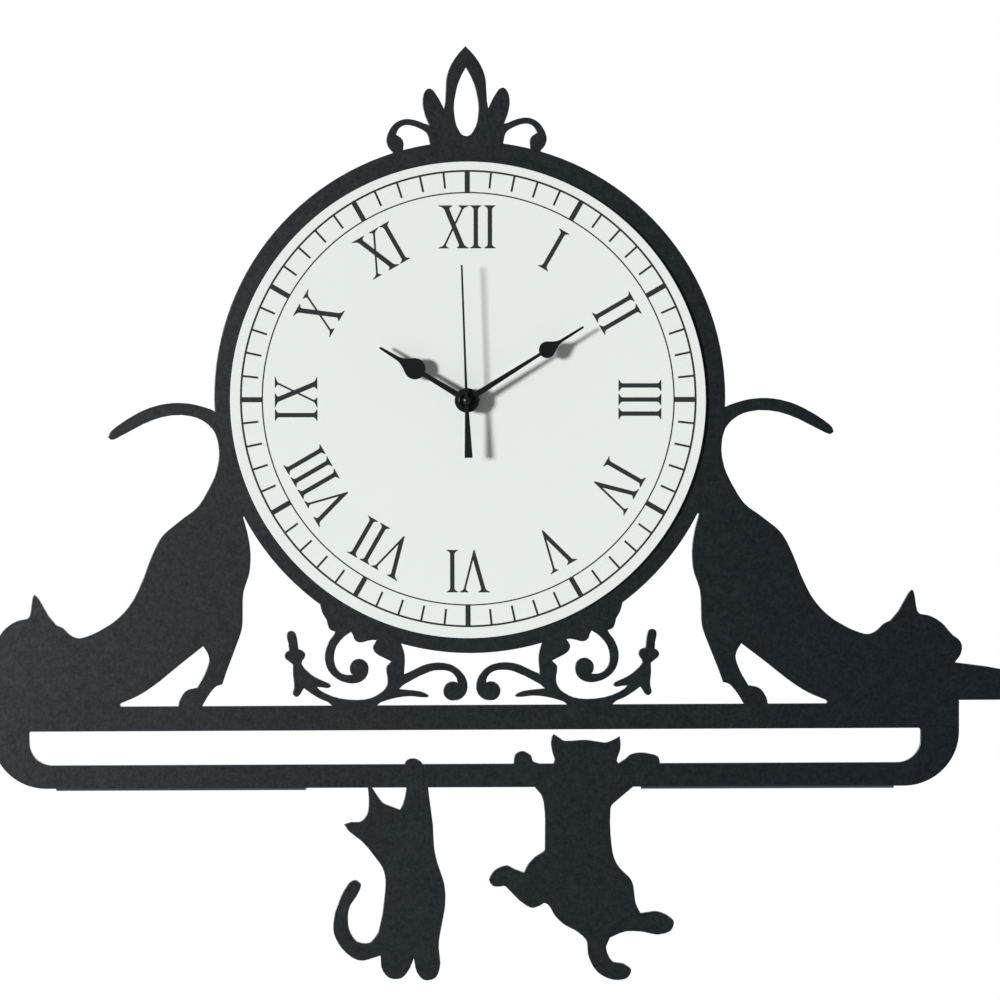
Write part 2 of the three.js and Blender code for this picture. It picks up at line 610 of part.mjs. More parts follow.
// Dial, washers, bush and nut. The print and the hole lie on the hand axis, and the dial's edge beside it.
const dialDisc = bar(dialRadius, dialFront, plateFront, {
  x: dialSide - axisSide, z: axisDrop - dialDrop, sides: roundSides });
piece('dial_plate', carve([dialDisc], [bar(bushHole, dialFront - 1, plateFront + 1)]), dialPaint, handAxis);
piece('rubber_washer', bar(rubberDiameter / 2, plateBack, caseFront, {
  bore: bushFlangeDiameter / 2 + boreGap }), rubber, handAxis);
const bushTube = bar(bushRadius, bushFront, caseFront, { bore: bushBore });
const bushFlange = bar(bushFlangeDiameter / 2, caseFront - bushFlangeThickness, caseFront, {
  bore: bushBore });
piece('threaded_bush', join(bushTube, bushFlange), brass, handAxis);
piece('flat_washer', bar(washerDiameter / 2, washerFront, dialFront, {
  bore: bushHole }), handPaint, handAxis);
const nutCorners = Array.from({ length: 6 }, (_, index) => {
  const angle = (index * Math.PI) / 3;
  const reach = nutFlats / Math.sqrt(3);
  return [reach * Math.cos(angle), reach * Math.sin(angle)];
});
const nutShape = shapeOf(nutCorners);
nutShape.holes.push(circle(bushHole));
piece('hex_nut', prism(nutShape, nutFront, washerFront), handPaint, handAxis);

// Hands: a blade drawn along +Z by its right edge, joined to a hub disc and a collet.
const blade = (edge, front, back) => prism(shapeOf([...edge, ...mirrored(edge)]), front, back);

// A spade is a round lobe that opens from the stem, then a hollow taper to the tip.
// The taper's places past the lobe's centre and its half widths are shares of the lobe's width.
const spadeTaper = [[0.5, 0.268], [0.6, 0.212], [0.74, 0.145], [0.88, 0.107], [1.06, 0.089]];
const lobeEnd = THREE.MathUtils.degToRad(124);
const lobeSteps = 14;

function spadeEdge({ length, spadeWidth, spadeReach, rootWidth, stemWidth, tipWidth }) {
  const centre = length - spadeReach;
  const lobeStart = Math.asin(stemWidth / spadeWidth);
  const lobe = Array.from({ length: lobeSteps + 1 }, (_, index) => {
    const angle = lobeStart + ((lobeEnd - lobeStart) * index) / lobeSteps;
    return [(Math.sin(angle) * spadeWidth) / 2, centre - (Math.cos(angle) * spadeWidth) / 2];
  });
  const taper = spadeTaper.map(([along, half]) => [half * spadeWidth, centre + along * spadeWidth]);
  const shoulder = [tipWidth / 2, length - tipWidth / 2];
  const root = [rootWidth / 2, hubDiameter / 4];
  return [root, ...lobe, ...smooth([...taper, shoulder]), [tipWidth / 4, length]];
}

function spadeHand(hand) {
  const front = hand.back - handThickness;
  const bore = hand.pipeRadius + fitGap;
  const hub = bar(hubDiameter / 2, front, hand.back);
  const collet = bar(bore + colletWall, front, hand.back + hand.colletLength);
  const hole = bar(bore, front - 1, hand.back + hand.colletLength + 1);
  return carve([blade(spadeEdge(hand), front, hand.back), hub, collet], [hole]);
}

const hourHand = spadeHand({
  length: hourLength, spadeWidth: hourSpadeWidth, spadeReach: hourSpadeReach, rootWidth: hourRootWidth,
  stemWidth: hourStemWidth, tipWidth: hourTipWidth, back: hourHandBack, pipeRadius: hourPipeRadius,
  colletLength: hourColletLength,
});
piece('hour_hand', hourHand, handPaint, handAxis, hourAngle);

const minuteHand = spadeHand({
  length: minuteLength, spadeWidth: minuteSpadeWidth, spadeReach: minuteSpadeReach,
  rootWidth: minuteRootWidth, stemWidth: minuteStemWidth, tipWidth: minuteTipWidth, back: minuteHandBack,
  pipeRadius: minutePipeRadius, colletLength: minuteColletLength,
});
piece('minute_hand', minuteHand, handPaint, handAxis, minuteAngle);
piece('minute_nut', bar(minuteNutDiameter / 2, minuteNutFront, minuteHandFront, {
  bore: minutePipeRadius + fitGap }), handPaint, handAxis);

const secondEdge = [
  [secondTailWidth / 2, -secondTail], [secondRootWidth / 2, 0], [secondStemWidth / 2, secondLength / 4],
  [secondTipWidth / 2, secondLength]];
const secondBlade = blade(secondEdge, secondBladeFront, secondBladeFront + handThickness);
const secondBoss = bar(secondBossDiameter / 2, secondBossFront, secondBossBack);
const secondSocket = bar(arborRadius + fitGap, secondArborFront, secondBossBack + 1);
piece('second_hand', carve([secondBlade, secondBoss], [secondSocket]), handPaint, handAxis, secondAngle);

// Wheels: trapezoid teeth between a root and a tip circle, with room for backlash.
const toothPitch = (teeth) => (2 * Math.PI) / teeth;

function toothed(teeth, module, phase) {
  const tip = module * (teeth / 2 + addendum);
  const root = module * (teeth / 2 - dedendum);
  const pitch = toothPitch(teeth);
  const corner = (radius, angle) => [radius * Math.cos(angle), radius * Math.sin(angle)];
  return Array.from({ length: teeth }, (_, index) => phase + index * pitch).flatMap((angle) => [
    corner(root, angle - (toothRootShare / 2) * pitch), corner(tip, angle - (toothTipShare / 2) * pitch),
    corner(tip, angle + (toothTipShare / 2) * pitch), corner(root, angle + (toothRootShare / 2) * pitch)]);
}

// Phase that puts a gap of the driven wheel against a tooth of the driver along their line of centres.
function meshedPhase(driverTeeth, driverPhase, direction, drivenTeeth) {
  const shift = (direction - driverPhase) / toothPitch(driverTeeth);
  return direction + Math.PI - toothPitch(drivenTeeth) * (0.5 - shift);
}

const wheel = (teeth, module, phase, front) =>
  prism(shapeOf(toothed(teeth, module, phase)), front, front + wheelThickness);
const pinion = (teeth, module, phase, front) => prism(
  shapeOf(toothed(teeth, module, phase)), front - pinionOverlap, front + wheelThickness + pinionOverlap);
const radians = THREE.MathUtils.degToRad;

function offset(distance, direction, from = [0, 0]) {
  const angle = radians(direction);
  return [from[0] + distance * Math.cos(angle), from[1] + distance * Math.sin(angle)];
}

function arborGroup([x, z]) {
  const group = new THREE.Group();
  group.position.set(x, 0, z);
  handAxis.add(group);
  return group;
}

const stepPlace = offset(stepDistance, stepDirection);
const rotorPlace = offset(rotorDistance, rotorDirection, stepPlace);
const thirdPlace = offset(thirdDistance, thirdDirection);
const minutePlace = offset(minuteDistance, minuteDirection);
const secondModule = (2 * stepDistance) / (secondTeeth + pinionTeeth);
const stepModule = (2 * rotorDistance) / (stepTeeth + pinionTeeth);
const thirdModule = (2 * thirdDistance) / (thirdTeeth + pinionTeeth);
const centreModule = (2 * thirdDistance) / (centreTeeth + pinionTeeth);
const motionModule = (2 * minuteDistance) / (minuteTeeth + cannonTeeth);
const hourModule = (2 * minuteDistance) / (hourTeeth + pinionTeeth);
const knobDistance = (motionModule * (minuteTeeth + knobTeeth)) / 2;
const knobPlace = offset(knobDistance, knobDirection, minutePlace);
const studBore = studDiameter / 2 + studGap;
const minuteStudBore = minuteStudDiameter / 2 + studGap;

// Second wheel: arbor, wheel and the pinion that drives the third wheel
const arborBack = caseRim - boreGap;
piece('second_wheel', join(
  bar(arborRadius, secondArborFront, arborBack, { sides: 12 }),
  wheel(secondTeeth, secondModule, 0, layer(4)),
  pinion(pinionTeeth, thirdModule, 0, layer(3))), brass, handAxis);

// Step wheel, on a stud of the cover
const stepPinionPhase = meshedPhase(secondTeeth, 0, radians(stepDirection), pinionTeeth);
piece('step_wheel', carve([
  wheel(stepTeeth, stepModule, 0, layer(5)),
  pinion(pinionTeeth, secondModule, stepPinionPhase, layer(4)),
  bar(studBore + hubWall, layer(4) - pinionOverlap, layer(5) + wheelThickness, { sides: 12 }),
], [bar(studBore, layer(3), magnetFront, { sides: 12 })]), whitePlastic, arborGroup(stepPlace));

// Rotor: magnet and pinion on a stud of the cover
const rotorPhase = meshedPhase(stepTeeth, 0, radians(rotorDirection), pinionTeeth);
piece('rotor', carve([
  pinion(pinionTeeth, stepModule, rotorPhase, layer(5)),
  bar(magnetDiameter / 2, magnetFront, magnetBack),
  bar(studBore + hubWall / 2, layer(5) - pinionOverlap, magnetBack, { sides: 12 }),
], [bar(studBore, layer(4), caseRim, { sides: 12 })]), magnetGrey, arborGroup(rotorPlace));

// Third wheel, on a stud of the cover
const thirdPhase = meshedPhase(pinionTeeth, 0, radians(thirdDirection), thirdTeeth);
piece('third_wheel', carve([
  wheel(thirdTeeth, thirdModule, thirdPhase, layer(3)),
  pinion(pinionTeeth, centreModule, 0, layer(2)),
  bar(studBore + hubWall, layer(2) - pinionOverlap, layer(3) + wheelThickness, { sides: 12 }),
], [bar(studBore, layer(1), layer(4), { sides: 12 })]), whitePlastic, arborGroup(thirdPlace));

// Centre wheel: wheel, cannon pinion and the pipe that carries the minute hand
const centrePhase = meshedPhase(pinionTeeth, 0, radians(thirdDirection + 180), centreTeeth);
piece('centre_wheel', carve([
  wheel(centreTeeth, centreModule, centrePhase, layer(2)),
  pinion(cannonTeeth, motionModule, 0, layer(1)),
  bar(minutePipeRadius, minuteNutFront, layer(2) + wheelThickness),
], [bar(minuteBore, minuteNutFront - 1, layer(3), { sides: 12 })]), brass, handAxis);

// Minute wheel, on a stud of the case
const minutePhase = meshedPhase(cannonTeeth, 0, radians(minuteDirection), minuteTeeth);
piece('minute_wheel', carve([
  wheel(minuteTeeth, motionModule, minutePhase, layer(1)),
  pinion(pinionTeeth, hourModule, 0, layer(0)),
  bar(minuteStudBore + hubWall, layer(0) - pinionOverlap, layer(1) + wheelThickness, { sides: 12 }),
], [bar(minuteStudBore, caseFront, layer(2), { sides: 12 })]), whitePlastic, arborGroup(minutePlace));

// Hour wheel with the pipe that carries the hour hand
const hourPhase = meshedPhase(pinionTeeth, 0, radians(minuteDirection + 180), hourTeeth);
piece('hour_wheel', carve([
  wheel(hourTeeth, hourModule, hourPhase, layer(0)),
  bar(hourPipeRadius, hourHandFront, layer(0) + wheelThickness),
], [bar(hourBore, hourHandFront - 1, layer(1))]), whitePlastic, handAxis);

// Setting knob: grooved head behind the cover, shaft and pinion
const knobPhase = meshedPhase(minuteTeeth, minutePhase, radians(knobDirection), knobTeeth);
const knobFront = coverBack + boreGap;
const groovePitch = toothPitch(knobGrooves);
const grooveProfile = [
  [knobDiameter / 2 - grooveDepth, 0], [knobDiameter / 2, 0.05], [knobDiameter / 2, 0.55],
  [knobDiameter / 2 - grooveDepth, 0.6]];
const grooved = Array.from({ length: knobGrooves }, (_, index) => index).flatMap((index) =>
  grooveProfile.map(([radius, share]) => {
    const angle = (index + share) * groovePitch;
    return [radius * Math.cos(angle), radius * Math.sin(angle)];
  }));
const knobShaftFront = layer(1) - pinionOverlap;
piece('setting_knob', join(
  prism(shapeOf(grooved), knobFront, knobFront + knobThickness),
  bar(knobShaftDiameter / 2, knobShaftFront, knobFront + knobThickness / 2, { sides: 16 }),
  pinion(knobTeeth, motionModule, knobPhase, layer(1))), blackPlastic, arborGroup(knobPlace));

// Movement case: battery bay below, wheel chamber above, both open at the back. Its width is set, and its
// height follows the largest wheel, the battery and the stator.
const outerHalf = caseSize / 2;
const innerHalf = outerHalf - caseWall;
const bayHeight = batteryDiameter + 2 * batterySlack;
const chamberBottom = -centreModule * (centreTeeth / 2 + addendum) - wheelClear;
const bayTop = chamberBottom - partitionWall;
const bayBottom = bayTop - bayHeight;
const caseBottom = bayBottom - caseWall;
const postRadius = screwDiameter / 2 + boreGap + postWall;
const rotorHole = magnetDiameter / 2 + rotorAirGap;
const windowBottom = rotorPlace[1] + rotorHole + statorBridge;
const statorBarBottom = windowBottom + coilWinding + 2 * boreGap + coilClear;
const statorBarTop = statorBarBottom + barDepth;
const caseTop = statorBarTop + handGap + postRadius + screwInset;
const chamberTop = caseTop - caseWall;
const screwPlaces = [-1, 1].flatMap((side) => [
  [side * (outerHalf - screwInset), caseTop - screwInset],
  [side * (outerHalf - screwInset), chamberBottom + screwInset - caseWall]]);
const boardLeft = -innerHalf + 2 * postRadius + edgeGap;
const boardBottom = chamberTop - boardHeight - edgeGap;
const boardFront = layer(5) - rimClear;
const boardPosts = [
  [boardLeft + supportDiameter, chamberTop - supportDiameter],
  [boardLeft + boardWidth - supportDiameter, chamberTop - supportDiameter]];
const caseShape = roundedRectangle(-outerHalf, outerHalf, caseBottom, caseTop, caseCorner, caseCorner);
const caseHollow = carve([prism(caseShape, caseFront, caseRim)], [
  block(-innerHalf, innerHalf, chamberFront, caseRim + 1, bayBottom, bayTop),
  block(-innerHalf, innerHalf, chamberFront, caseRim + 1, chamberBottom, chamberTop),
  bar(bushBore, caseFront - 1, chamberFront + 1),
]);
const screwPosts = screwPlaces.map(([x, z]) => bar(postRadius, caseFront + caseWall / 2, caseRim, { x, z }));
const boardSupports = boardPosts.map(([x, z]) =>
  bar(supportDiameter / 2, caseFront + caseWall / 2, boardFront, { x, z, sides: 12 }));
const minuteStudBack = layer(1) + wheelThickness + studGap;
const minuteStud = bar(minuteStudDiameter / 2, caseFront + caseWall / 2, minuteStudBack, {
  x: minutePlace[0], z: minutePlace[1], sides: 12 });
const knobSeat = bar(knobShaftDiameter / 2, caseFront + caseWall / 2, knobShaftFront - studGap, {
  x: knobPlace[0], z: knobPlace[1], sides: 16 });
const screwDepth = caseRim - screwLength + coverThickness;
const postHoles = screwPlaces.map(([x, z]) =>
  bar(screwDiameter / 2 + boreGap, screwDepth - boreGap, caseRim + 1, { x, z, sides: 12 }));
piece('movement_case', carve([caseHollow, ...screwPosts, ...boardSupports, minuteStud, knobSeat], postHoles),
  blackPlastic, handAxis);

// Back cover with its studs, arbor boss and stator posts
const statorFront = (magnetFront + magnetBack - statorThickness) / 2;
const statorBack = statorFront + statorThickness;
const stud = ([x, z], front) => bar(studDiameter / 2, front, caseRim + coverThickness / 2, {
  x, z, sides: 12 });
const statorWidth = innerHalf - statorMargin;
const statorBottom = rotorPlace[1] - rotorHole - statorEdge;
const statorLeft = rotorPlace[0] - rotorHole - statorSide;
const statorPosts = [
  [statorPostInset, statorBarBottom + barDepth / 2],
  [statorWidth - statorPostInset, statorBottom + statorPostInset]];
const coverPlate = prism(rectangle(-outerHalf, outerHalf, bayTop + coverGap, caseTop), caseRim, coverBack);
const coverHoles = [
  ...screwPlaces.map(([x, z]) =>
    bar(screwDiameter / 2 + boreGap, caseRim - 1, coverBack + 1, { x, z, sides: 12 })),
  bar(knobShaftDiameter / 2 + boreGap, caseRim - 1, coverBack + 1, {
    x: knobPlace[0], z: knobPlace[1], sides: 16 }),
];
piece('back_cover', carve([
  coverPlate,
  stud(stepPlace, layer(4) - pinionOverlap),
  stud(rotorPlace, layer(5) - pinionOverlap),
  stud(thirdPlace, layer(2) - pinionOverlap),
  bar(arborRadius + boreGap + postWall / 2, magnetBack - 1, caseRim + coverThickness / 2, {
    bore: arborRadius + boreGap, sides: 16 }),
  ...statorPosts.map(([x, z]) =>
    bar(supportDiameter / 2, statorBack, caseRim + coverThickness / 2, { x, z, sides: 12 })),
], coverHoles), blackPlastic, handAxis);

screwPlaces.forEach(([x, z], index) => {
  const head = bar(screwHeadDiameter / 2, coverBack, coverBack + screwHeadHeight, { x, z, sides: 16 });
  const shank = bar(screwDiameter / 2, screwDepth, coverBack + screwHeadHeight / 2, { x, z, sides: 12 });
  piece(`cover_screw_${index + 1}`, join(head, shank), steel, handAxis);
});

// Stator with the bar that the coil is wound on
const coilLeft = barDepth + edgeGap;
const coilTop = statorBarTop + boreGap + coilWinding;
const coilBottom = statorBarBottom - boreGap - coilWinding;
const statorShape = shapeOf([
  [0, statorBarTop], [0, statorBarBottom - edgeGap], [statorLeft, rotorPlace[1] + statorShoulder],
  [statorLeft, statorBottom], [statorWidth, statorBottom], [statorWidth, statorBarTop]]);
const windowTop = statorBarBottom;
statorShape.holes.push(shapeOf([
  [barDepth, windowTop], [statorWidth - barDepth, windowTop], [statorWidth - barDepth, windowBottom],
  [statorLeft + statorSide / 2, windowBottom], [barDepth, coilBottom - boreGap]]));
statorShape.holes.push(circle(rotorHole, rotorPlace[0], rotorPlace[1]));
piece('stator', prism(statorShape, statorFront, statorBack), steel, handAxis);

// The coil is a square tube round the stator's bar.
const coilRight = statorWidth - barDepth - coilEnd;
const coilFront = statorFront - boreGap - coilWinding;
const coilBack = statorBack + boreGap + coilWinding;
const coilBlock = block(coilLeft, coilRight, coilFront, coilBack, coilBottom, coilTop);
const coilHollow = block(coilLeft - 1, coilRight + 1, statorFront - boreGap, statorBack + boreGap,
  statorBarBottom - boreGap, statorBarTop + boreGap);
piece('coil', carve([coilBlock], [coilHollow]), copper, handAxis);

piece('circuit_board', block(
  boardLeft, boardLeft + boardWidth, boardFront, boardFront + boardThickness, boardBottom,
  boardBottom + boardHeight), greenBoard, handAxis);
const crystal = new THREE.CylinderGeometry(crystalDiameter / 2, crystalDiameter / 2, crystalLength, 16);
crystal.rotateZ(Math.PI / 2);
crystal.translate(boardLeft + boardWidth / 2, boardFront + boardThickness + crystalDiameter / 2 + contactGap,
  boardBottom + boardHeight / 3);
piece('quartz_crystal', crystal, steel, handAxis);

// Battery and its two contacts
const batteryCentre = [chamberFront + batterySlack + batteryDiameter / 2, bayBottom + bayHeight / 2];
function lyingRod(radius, left, right) {
  const rod = new THREE.CylinderGeometry(radius, radius, right - left, 40);
  rod.rotateZ(-Math.PI / 2);
  rod.translate((left + right) / 2, batteryCentre[0], batteryCentre[1]);
  return rod;
}
const batteryLeft = -innerHalf + contactRoom;
const nubEnd = innerHalf - contactRoom;
const batteryRight = nubEnd - nubLength;
piece('battery', join(
  lyingRod(batteryDiameter / 2, batteryLeft, batteryRight),
  lyingRod(nubDiameter / 2, batteryRight - 1, nubEnd)), batterySleeve, handAxis);

const contactBottom = batteryCentre[1] - contactSize / 2;
const contactTop = batteryCentre[1] + contactSize / 2;
const contactFront = batteryCentre[0] - contactSize / 2;
const contactBack = batteryCentre[0] + contactSize / 2;
function leaf(wallX, tipX) {
  const inward = Math.sign(tipX - wallX);
  const thick = inward * contactThickness;
  const bent = [
    [wallX, contactFront], [wallX + thick, contactFront], [tipX, batteryCentre[0]],
    [wallX + thick, contactBack], [wallX, contactBack], [tipX - thick, batteryCentre[0]]];
  const geometry = new THREE.ExtrudeGeometry(shapeOf(inward > 0 ? bent : bent.reverse()), {
    depth: contactTop - contactBottom, bevelEnabled: false,
  });
  geometry.translate(0, 0, contactBottom);
  return geometry;
}
piece('negative_contact', leaf(-innerHalf + contactGap, batteryLeft - boreGap), steel, handAxis);
piece('positive_contact', leaf(innerHalf - contactGap, nubEnd + boreGap), steel, handAxis);

export default clock;
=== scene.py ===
"""Looks of a metal wall clock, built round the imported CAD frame.

The frame is in metres, +Z up. The front faces -Y and the wall is the plane Y = 0. Shapes are worked out in
millimetres and become metres when their mesh is made.
"""

from __future__ import annotations

import logging
import math
from dataclasses import dataclass
from enum import Enum
from typing import Any, Callable, Iterator

import bmesh
import bpy
import numpy as np
from mathutils import Matrix, Vector
from mathutils.geometry import delaunay_2d_cdt


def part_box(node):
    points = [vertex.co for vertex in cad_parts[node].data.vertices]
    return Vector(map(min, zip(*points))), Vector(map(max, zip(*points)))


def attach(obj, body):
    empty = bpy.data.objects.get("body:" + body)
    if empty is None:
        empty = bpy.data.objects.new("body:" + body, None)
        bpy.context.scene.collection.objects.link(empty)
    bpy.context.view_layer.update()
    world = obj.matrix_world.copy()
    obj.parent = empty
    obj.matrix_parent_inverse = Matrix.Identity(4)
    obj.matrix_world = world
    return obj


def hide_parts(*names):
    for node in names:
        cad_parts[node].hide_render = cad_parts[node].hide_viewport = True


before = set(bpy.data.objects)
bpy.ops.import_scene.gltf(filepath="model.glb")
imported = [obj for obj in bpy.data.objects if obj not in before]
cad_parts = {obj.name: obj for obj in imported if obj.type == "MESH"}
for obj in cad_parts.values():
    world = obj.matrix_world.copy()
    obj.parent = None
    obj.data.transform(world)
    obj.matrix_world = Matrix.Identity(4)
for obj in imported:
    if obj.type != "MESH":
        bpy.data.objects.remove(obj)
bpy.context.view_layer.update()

Array = np.ndarray
Piece = bpy.types.Object
Triple = tuple[float, float, float]

MM = 0.001
FULL_TURN = 2 * math.pi
QUARTER_TURN = math.pi / 2
SHARP_ANGLE = math.radians(38)
# Distance of points that count as one in a mesh, in metres, and of corners of a flat face, in millimetres
SAME_POINT = 1e-6
SAME_CORNER = 1e-4
# Least length that a vector is divided by, and least divisor of a mitre
SHORTEST = 1e-9
MITRE_LIMIT = 0.4
# Cosine above which directions agree, and greatest share along Y of a wall's normal
ALIGNED = 0.999
UPRIGHT = 0.5
# Place of a trim line that trims nothing, in millimetres
FAR_OFF = 100.0
HOURS = ("I", "II", "III", "IV", "V", "VI", "VII", "VIII", "IX", "X", "XI", "XII")
log = logging.getLogger("wall_clock")


# Boxes of the CAD nodes


@dataclass(frozen=True)
class Extent:
    """Lowest and highest corner of a CAD node at rest, in millimetres."""

    low: Array
    high: Array

    @classmethod
    def of(cls, node: str) -> Extent:
        """Measures a node."""
        low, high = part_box(node)
        return cls(np.array(low) / MM, np.array(high) / MM)

    @property
    def centre(self) -> Array:
        """Middle of the box."""
        return (self.low + self.high) / 2

    @property
    def size(self) -> Array:
        """Lengths of the box's sides."""
        return self.high - self.low


hand_axis = Vector(Extent.of("hex_nut").centre)
cell_box = Extent.of("battery")


# Shader arithmetic


def math_operator(operation: str, reflected: bool = False) -> Callable[..., Signal]:
    """Makes an operator for Signal.

    Args:
        operation: the Math node's operation.
        reflected: whether the other term comes first.

    Returns:
        A method that adds one Math node on the signal and the other term.
    """
    def method(signal: Signal, other: Signal | float = 0.0) -> Signal:
        """Adds the Math node."""
        terms = (other, signal) if reflected else (signal, other)
        return signal.graph.node("ShaderNodeMath", {"operation": operation}, dict(enumerate(terms)))

    return method


class Signal:
    """A shader socket that takes part in arithmetic. Each operator adds one Math node.

    The remainder stays positive below zero too. A comparison is one where it holds, and zero elsewhere.
    """

    __add__ = math_operator("ADD")
    __radd__ = math_operator("ADD", reflected=True)
    __sub__ = math_operator("SUBTRACT")
    __rsub__ = math_operator("SUBTRACT", reflected=True)
    __mul__ = math_operator("MULTIPLY")
    __rmul__ = math_operator("MULTIPLY", reflected=True)
    __truediv__ = math_operator("DIVIDE")
    __rtruediv__ = math_operator("DIVIDE", reflected=True)
    __mod__ = math_operator("FLOORED_MODULO")
    __gt__ = math_operator("GREATER_THAN")
    __abs__ = math_operator("ABSOLUTE")

    def __init__(self, graph: Graph, socket: bpy.types.NodeSocket) -> None:
        """Keeps the graph and the socket."""
        self.graph = graph
        self.socket = socket


class Graph:
    """A node tree that is filled from Python expressions."""

    def __init__(self, tree: bpy.types.NodeTree) -> None:
        """Takes a tree and empties it."""
        self.tree = tree
        tree.nodes.clear()

    def node(self, kind: str, settings: dict[str, Any] | None = None,
             sockets: dict[str | int, Any] | None = None, output: str | int | None = 0) -> Signal | None:
        """Adds a node.

        Args:
            kind: Blender's name of the node type.
            settings: the node's own settings, set before its sockets.
            sockets: a value or a Signal for each input, by name or place.
            output: the output to hand back, by name or place, or None for a node without one.

        Returns:
            The chosen output as a Signal, or None.
        """
        made = self.tree.nodes.new(kind)
        for name, value in (settings or {}).items():
            setattr(made, name, value)
        for name, value in (sockets or {}).items():
            if isinstance(value, Signal):
                self.tree.links.new(value.socket, made.inputs[name])
            elif made.inputs[name].type == "RGBA":
                made.inputs[name].default_value = (*value, 1.0)
            else:
                made.inputs[name].default_value = value
        return None if output is None else Signal(self, made.outputs[output])

    def spot(self, origin: Triple = (0, 0, 0), stretch: Triple = (1, 1, 1)) -> Signal:
        """Object coordinates, in metres.

        Args:
            origin: the point that they are measured from, in millimetres.
            stretch: their scale along each axis.

        Returns:
            The coordinates.
        """
        place = self.node("ShaderNodeTexCoord", output="Object")
        shift = tuple(-part * MM * scale for part, scale in zip(origin, stretch))
        return self.node("ShaderNodeMapping", None, {"Vector": place, "Location": shift, "Scale": stretch})

    def along(self, axis: int) -> Signal:
        """One Object coordinate, in millimetres."""
        return self.node("ShaderNodeSeparateXYZ", None, {0: self.spot()}, axis) / MM

    def grain(self, size: float, detail: float = 2.0, stretch: Triple = (1, 1, 1)) -> Signal:
        """Noise from 0 to 1 whose lumps are about the given size, in millimetres."""
        return self.node("ShaderNodeTexNoise", None, {
            "Vector": self.spot(stretch=stretch), "Scale": 1 / (size * MM), "Detail": detail})

    def cells(self, size: float, output: str = "Distance") -> Signal:
        """Rounded cells of about the given size, in millimetres."""
        return self.node("ShaderNodeTexVoronoi", None, {
            "Vector": self.spot(), "Scale": 1 / (size * MM)}, output)

    def blend(self, share: Signal | float, first: Signal | Triple, second: Signal | Triple) -> Signal:
        """Colour that goes from the first to the second as the share goes from 0 to 1."""
        # The colour sockets go by place, because those of other data types have the same names
        return self.node("ShaderNodeMix", {"data_type": "RGBA"}, {0: share, 6: first, 7: second}, 2)

    def ramp(self, value: Signal, low: float, high: float) -> Signal:
        """Smooth step from 0 to 1 as a value goes from low to high."""
        return self.node("ShaderNodeMapRange", {"interpolation_type": "SMOOTHSTEP"}, {
            "Value": value, "From Min": low, "From Max": high})

    def mix(self, share: Signal, first: Signal, second: Signal) -> Signal:
        """One shader turning into another."""
        return self.node("ShaderNodeMixShader", None, {0: share, 1: first, 2: second})

    def surface(self, shader: Signal, kind: str = "ShaderNodeOutputMaterial") -> None:
        """Leads a shader to the tree's output."""
        self.node(kind, None, {"Surface": shader}, None)


# Finishes


@dataclass(frozen=True)
class Finish:
    """A mottled finish: two tones shared out by grain, with its own roughness and relief.

    Grain and relief are in millimetres, and the pale tone stands up. Roughness goes from its first value on
    the dark tone to its second on the pale one.
    """

    name: str
    slot: str
    dark: Triple
    pale: Triple
    grain: float
    roughness: tuple[float, float]
    relief: float
    metallic: float = 0.0
    specular: float = 0.5
    coat: float = 0.0
    coat_roughness: float = 0.12

    def pattern(self, graph: Graph) -> Signal:
        """Share of the pale tone: plain grain."""
        return graph.grain(self.grain)

    def colour(self, graph: Graph, share: Signal) -> Signal:
        """The dark and pale tones mixed by the share."""
        return graph.blend(share, self.dark, self.pale)

    def metal(self, graph: Graph) -> Signal | float:
        """How metallic the surface is."""
        return self.metallic

    def material(self) -> bpy.types.Material:
        """Makes the finish's material once.

        Returns:
            The material.
        """
        found = bpy.data.materials.get(self.name)
        if found:
            return found
        made = bpy.data.materials.new(self.name)
        made.use_nodes = True
        graph = Graph(made.node_tree)
        share = self.pattern(graph)
        low, high = self.roughness
        bump = graph.node("ShaderNodeBump", None, {
            "Strength": 1.0, "Distance": self.relief * MM, "Height": share})
        graph.surface(graph.node("ShaderNodeBsdfPrincipled", None, {
            "Base Color": self.colour(graph, share), "Roughness": low + (high - low) * share,
            "Metallic": self.metal(graph), "Specular IOR Level": self.specular,
            "Coat Weight": self.coat, "Coat Roughness": self.coat_roughness, "Normal": bump}))
        return made

    def dress(self, piece: Piece) -> None:
        """Makes this the piece's only material."""
        piece.data.materials.clear()
        piece.data.materials.append(self.material())


@dataclass(frozen=True)
class PowderCoat(Finish):
    """Fine textured powder coat: rounded specks of baked powder over a soft unevenness.

    The drift is the width of the unevenness's wider lumps, as a multiple of the grain.
    """

    speck: float = 0.55
    drift: float = 2.5
    shares: Triple = (0.53, 0.22, 0.25)

    def pattern(self, graph: Graph) -> Signal:
        """Fine lumps, wider lumps and rounded specks, each by its share."""
        lumps = (graph.grain(self.grain, detail=3.0) * self.shares[0]
                 + graph.grain(self.grain * self.drift, detail=1.0) * self.shares[1])
        return lumps + (1 - graph.cells(self.speck)) * self.shares[2]


@dataclass(frozen=True)
class PrintedSheet(Finish):
    """Matt printed sheet: faint fibres of the print over an almost even tone."""

    drift: float = 90.0
    tooth: float = 0.6

    def pattern(self, graph: Graph) -> Signal:
        """Fine tooth of the print with a slow drift across the sheet."""
        slow = graph.grain(self.grain * self.drift, detail=1.0)
        return graph.grain(self.grain) * self.tooth + slow * (1 - self.tooth)


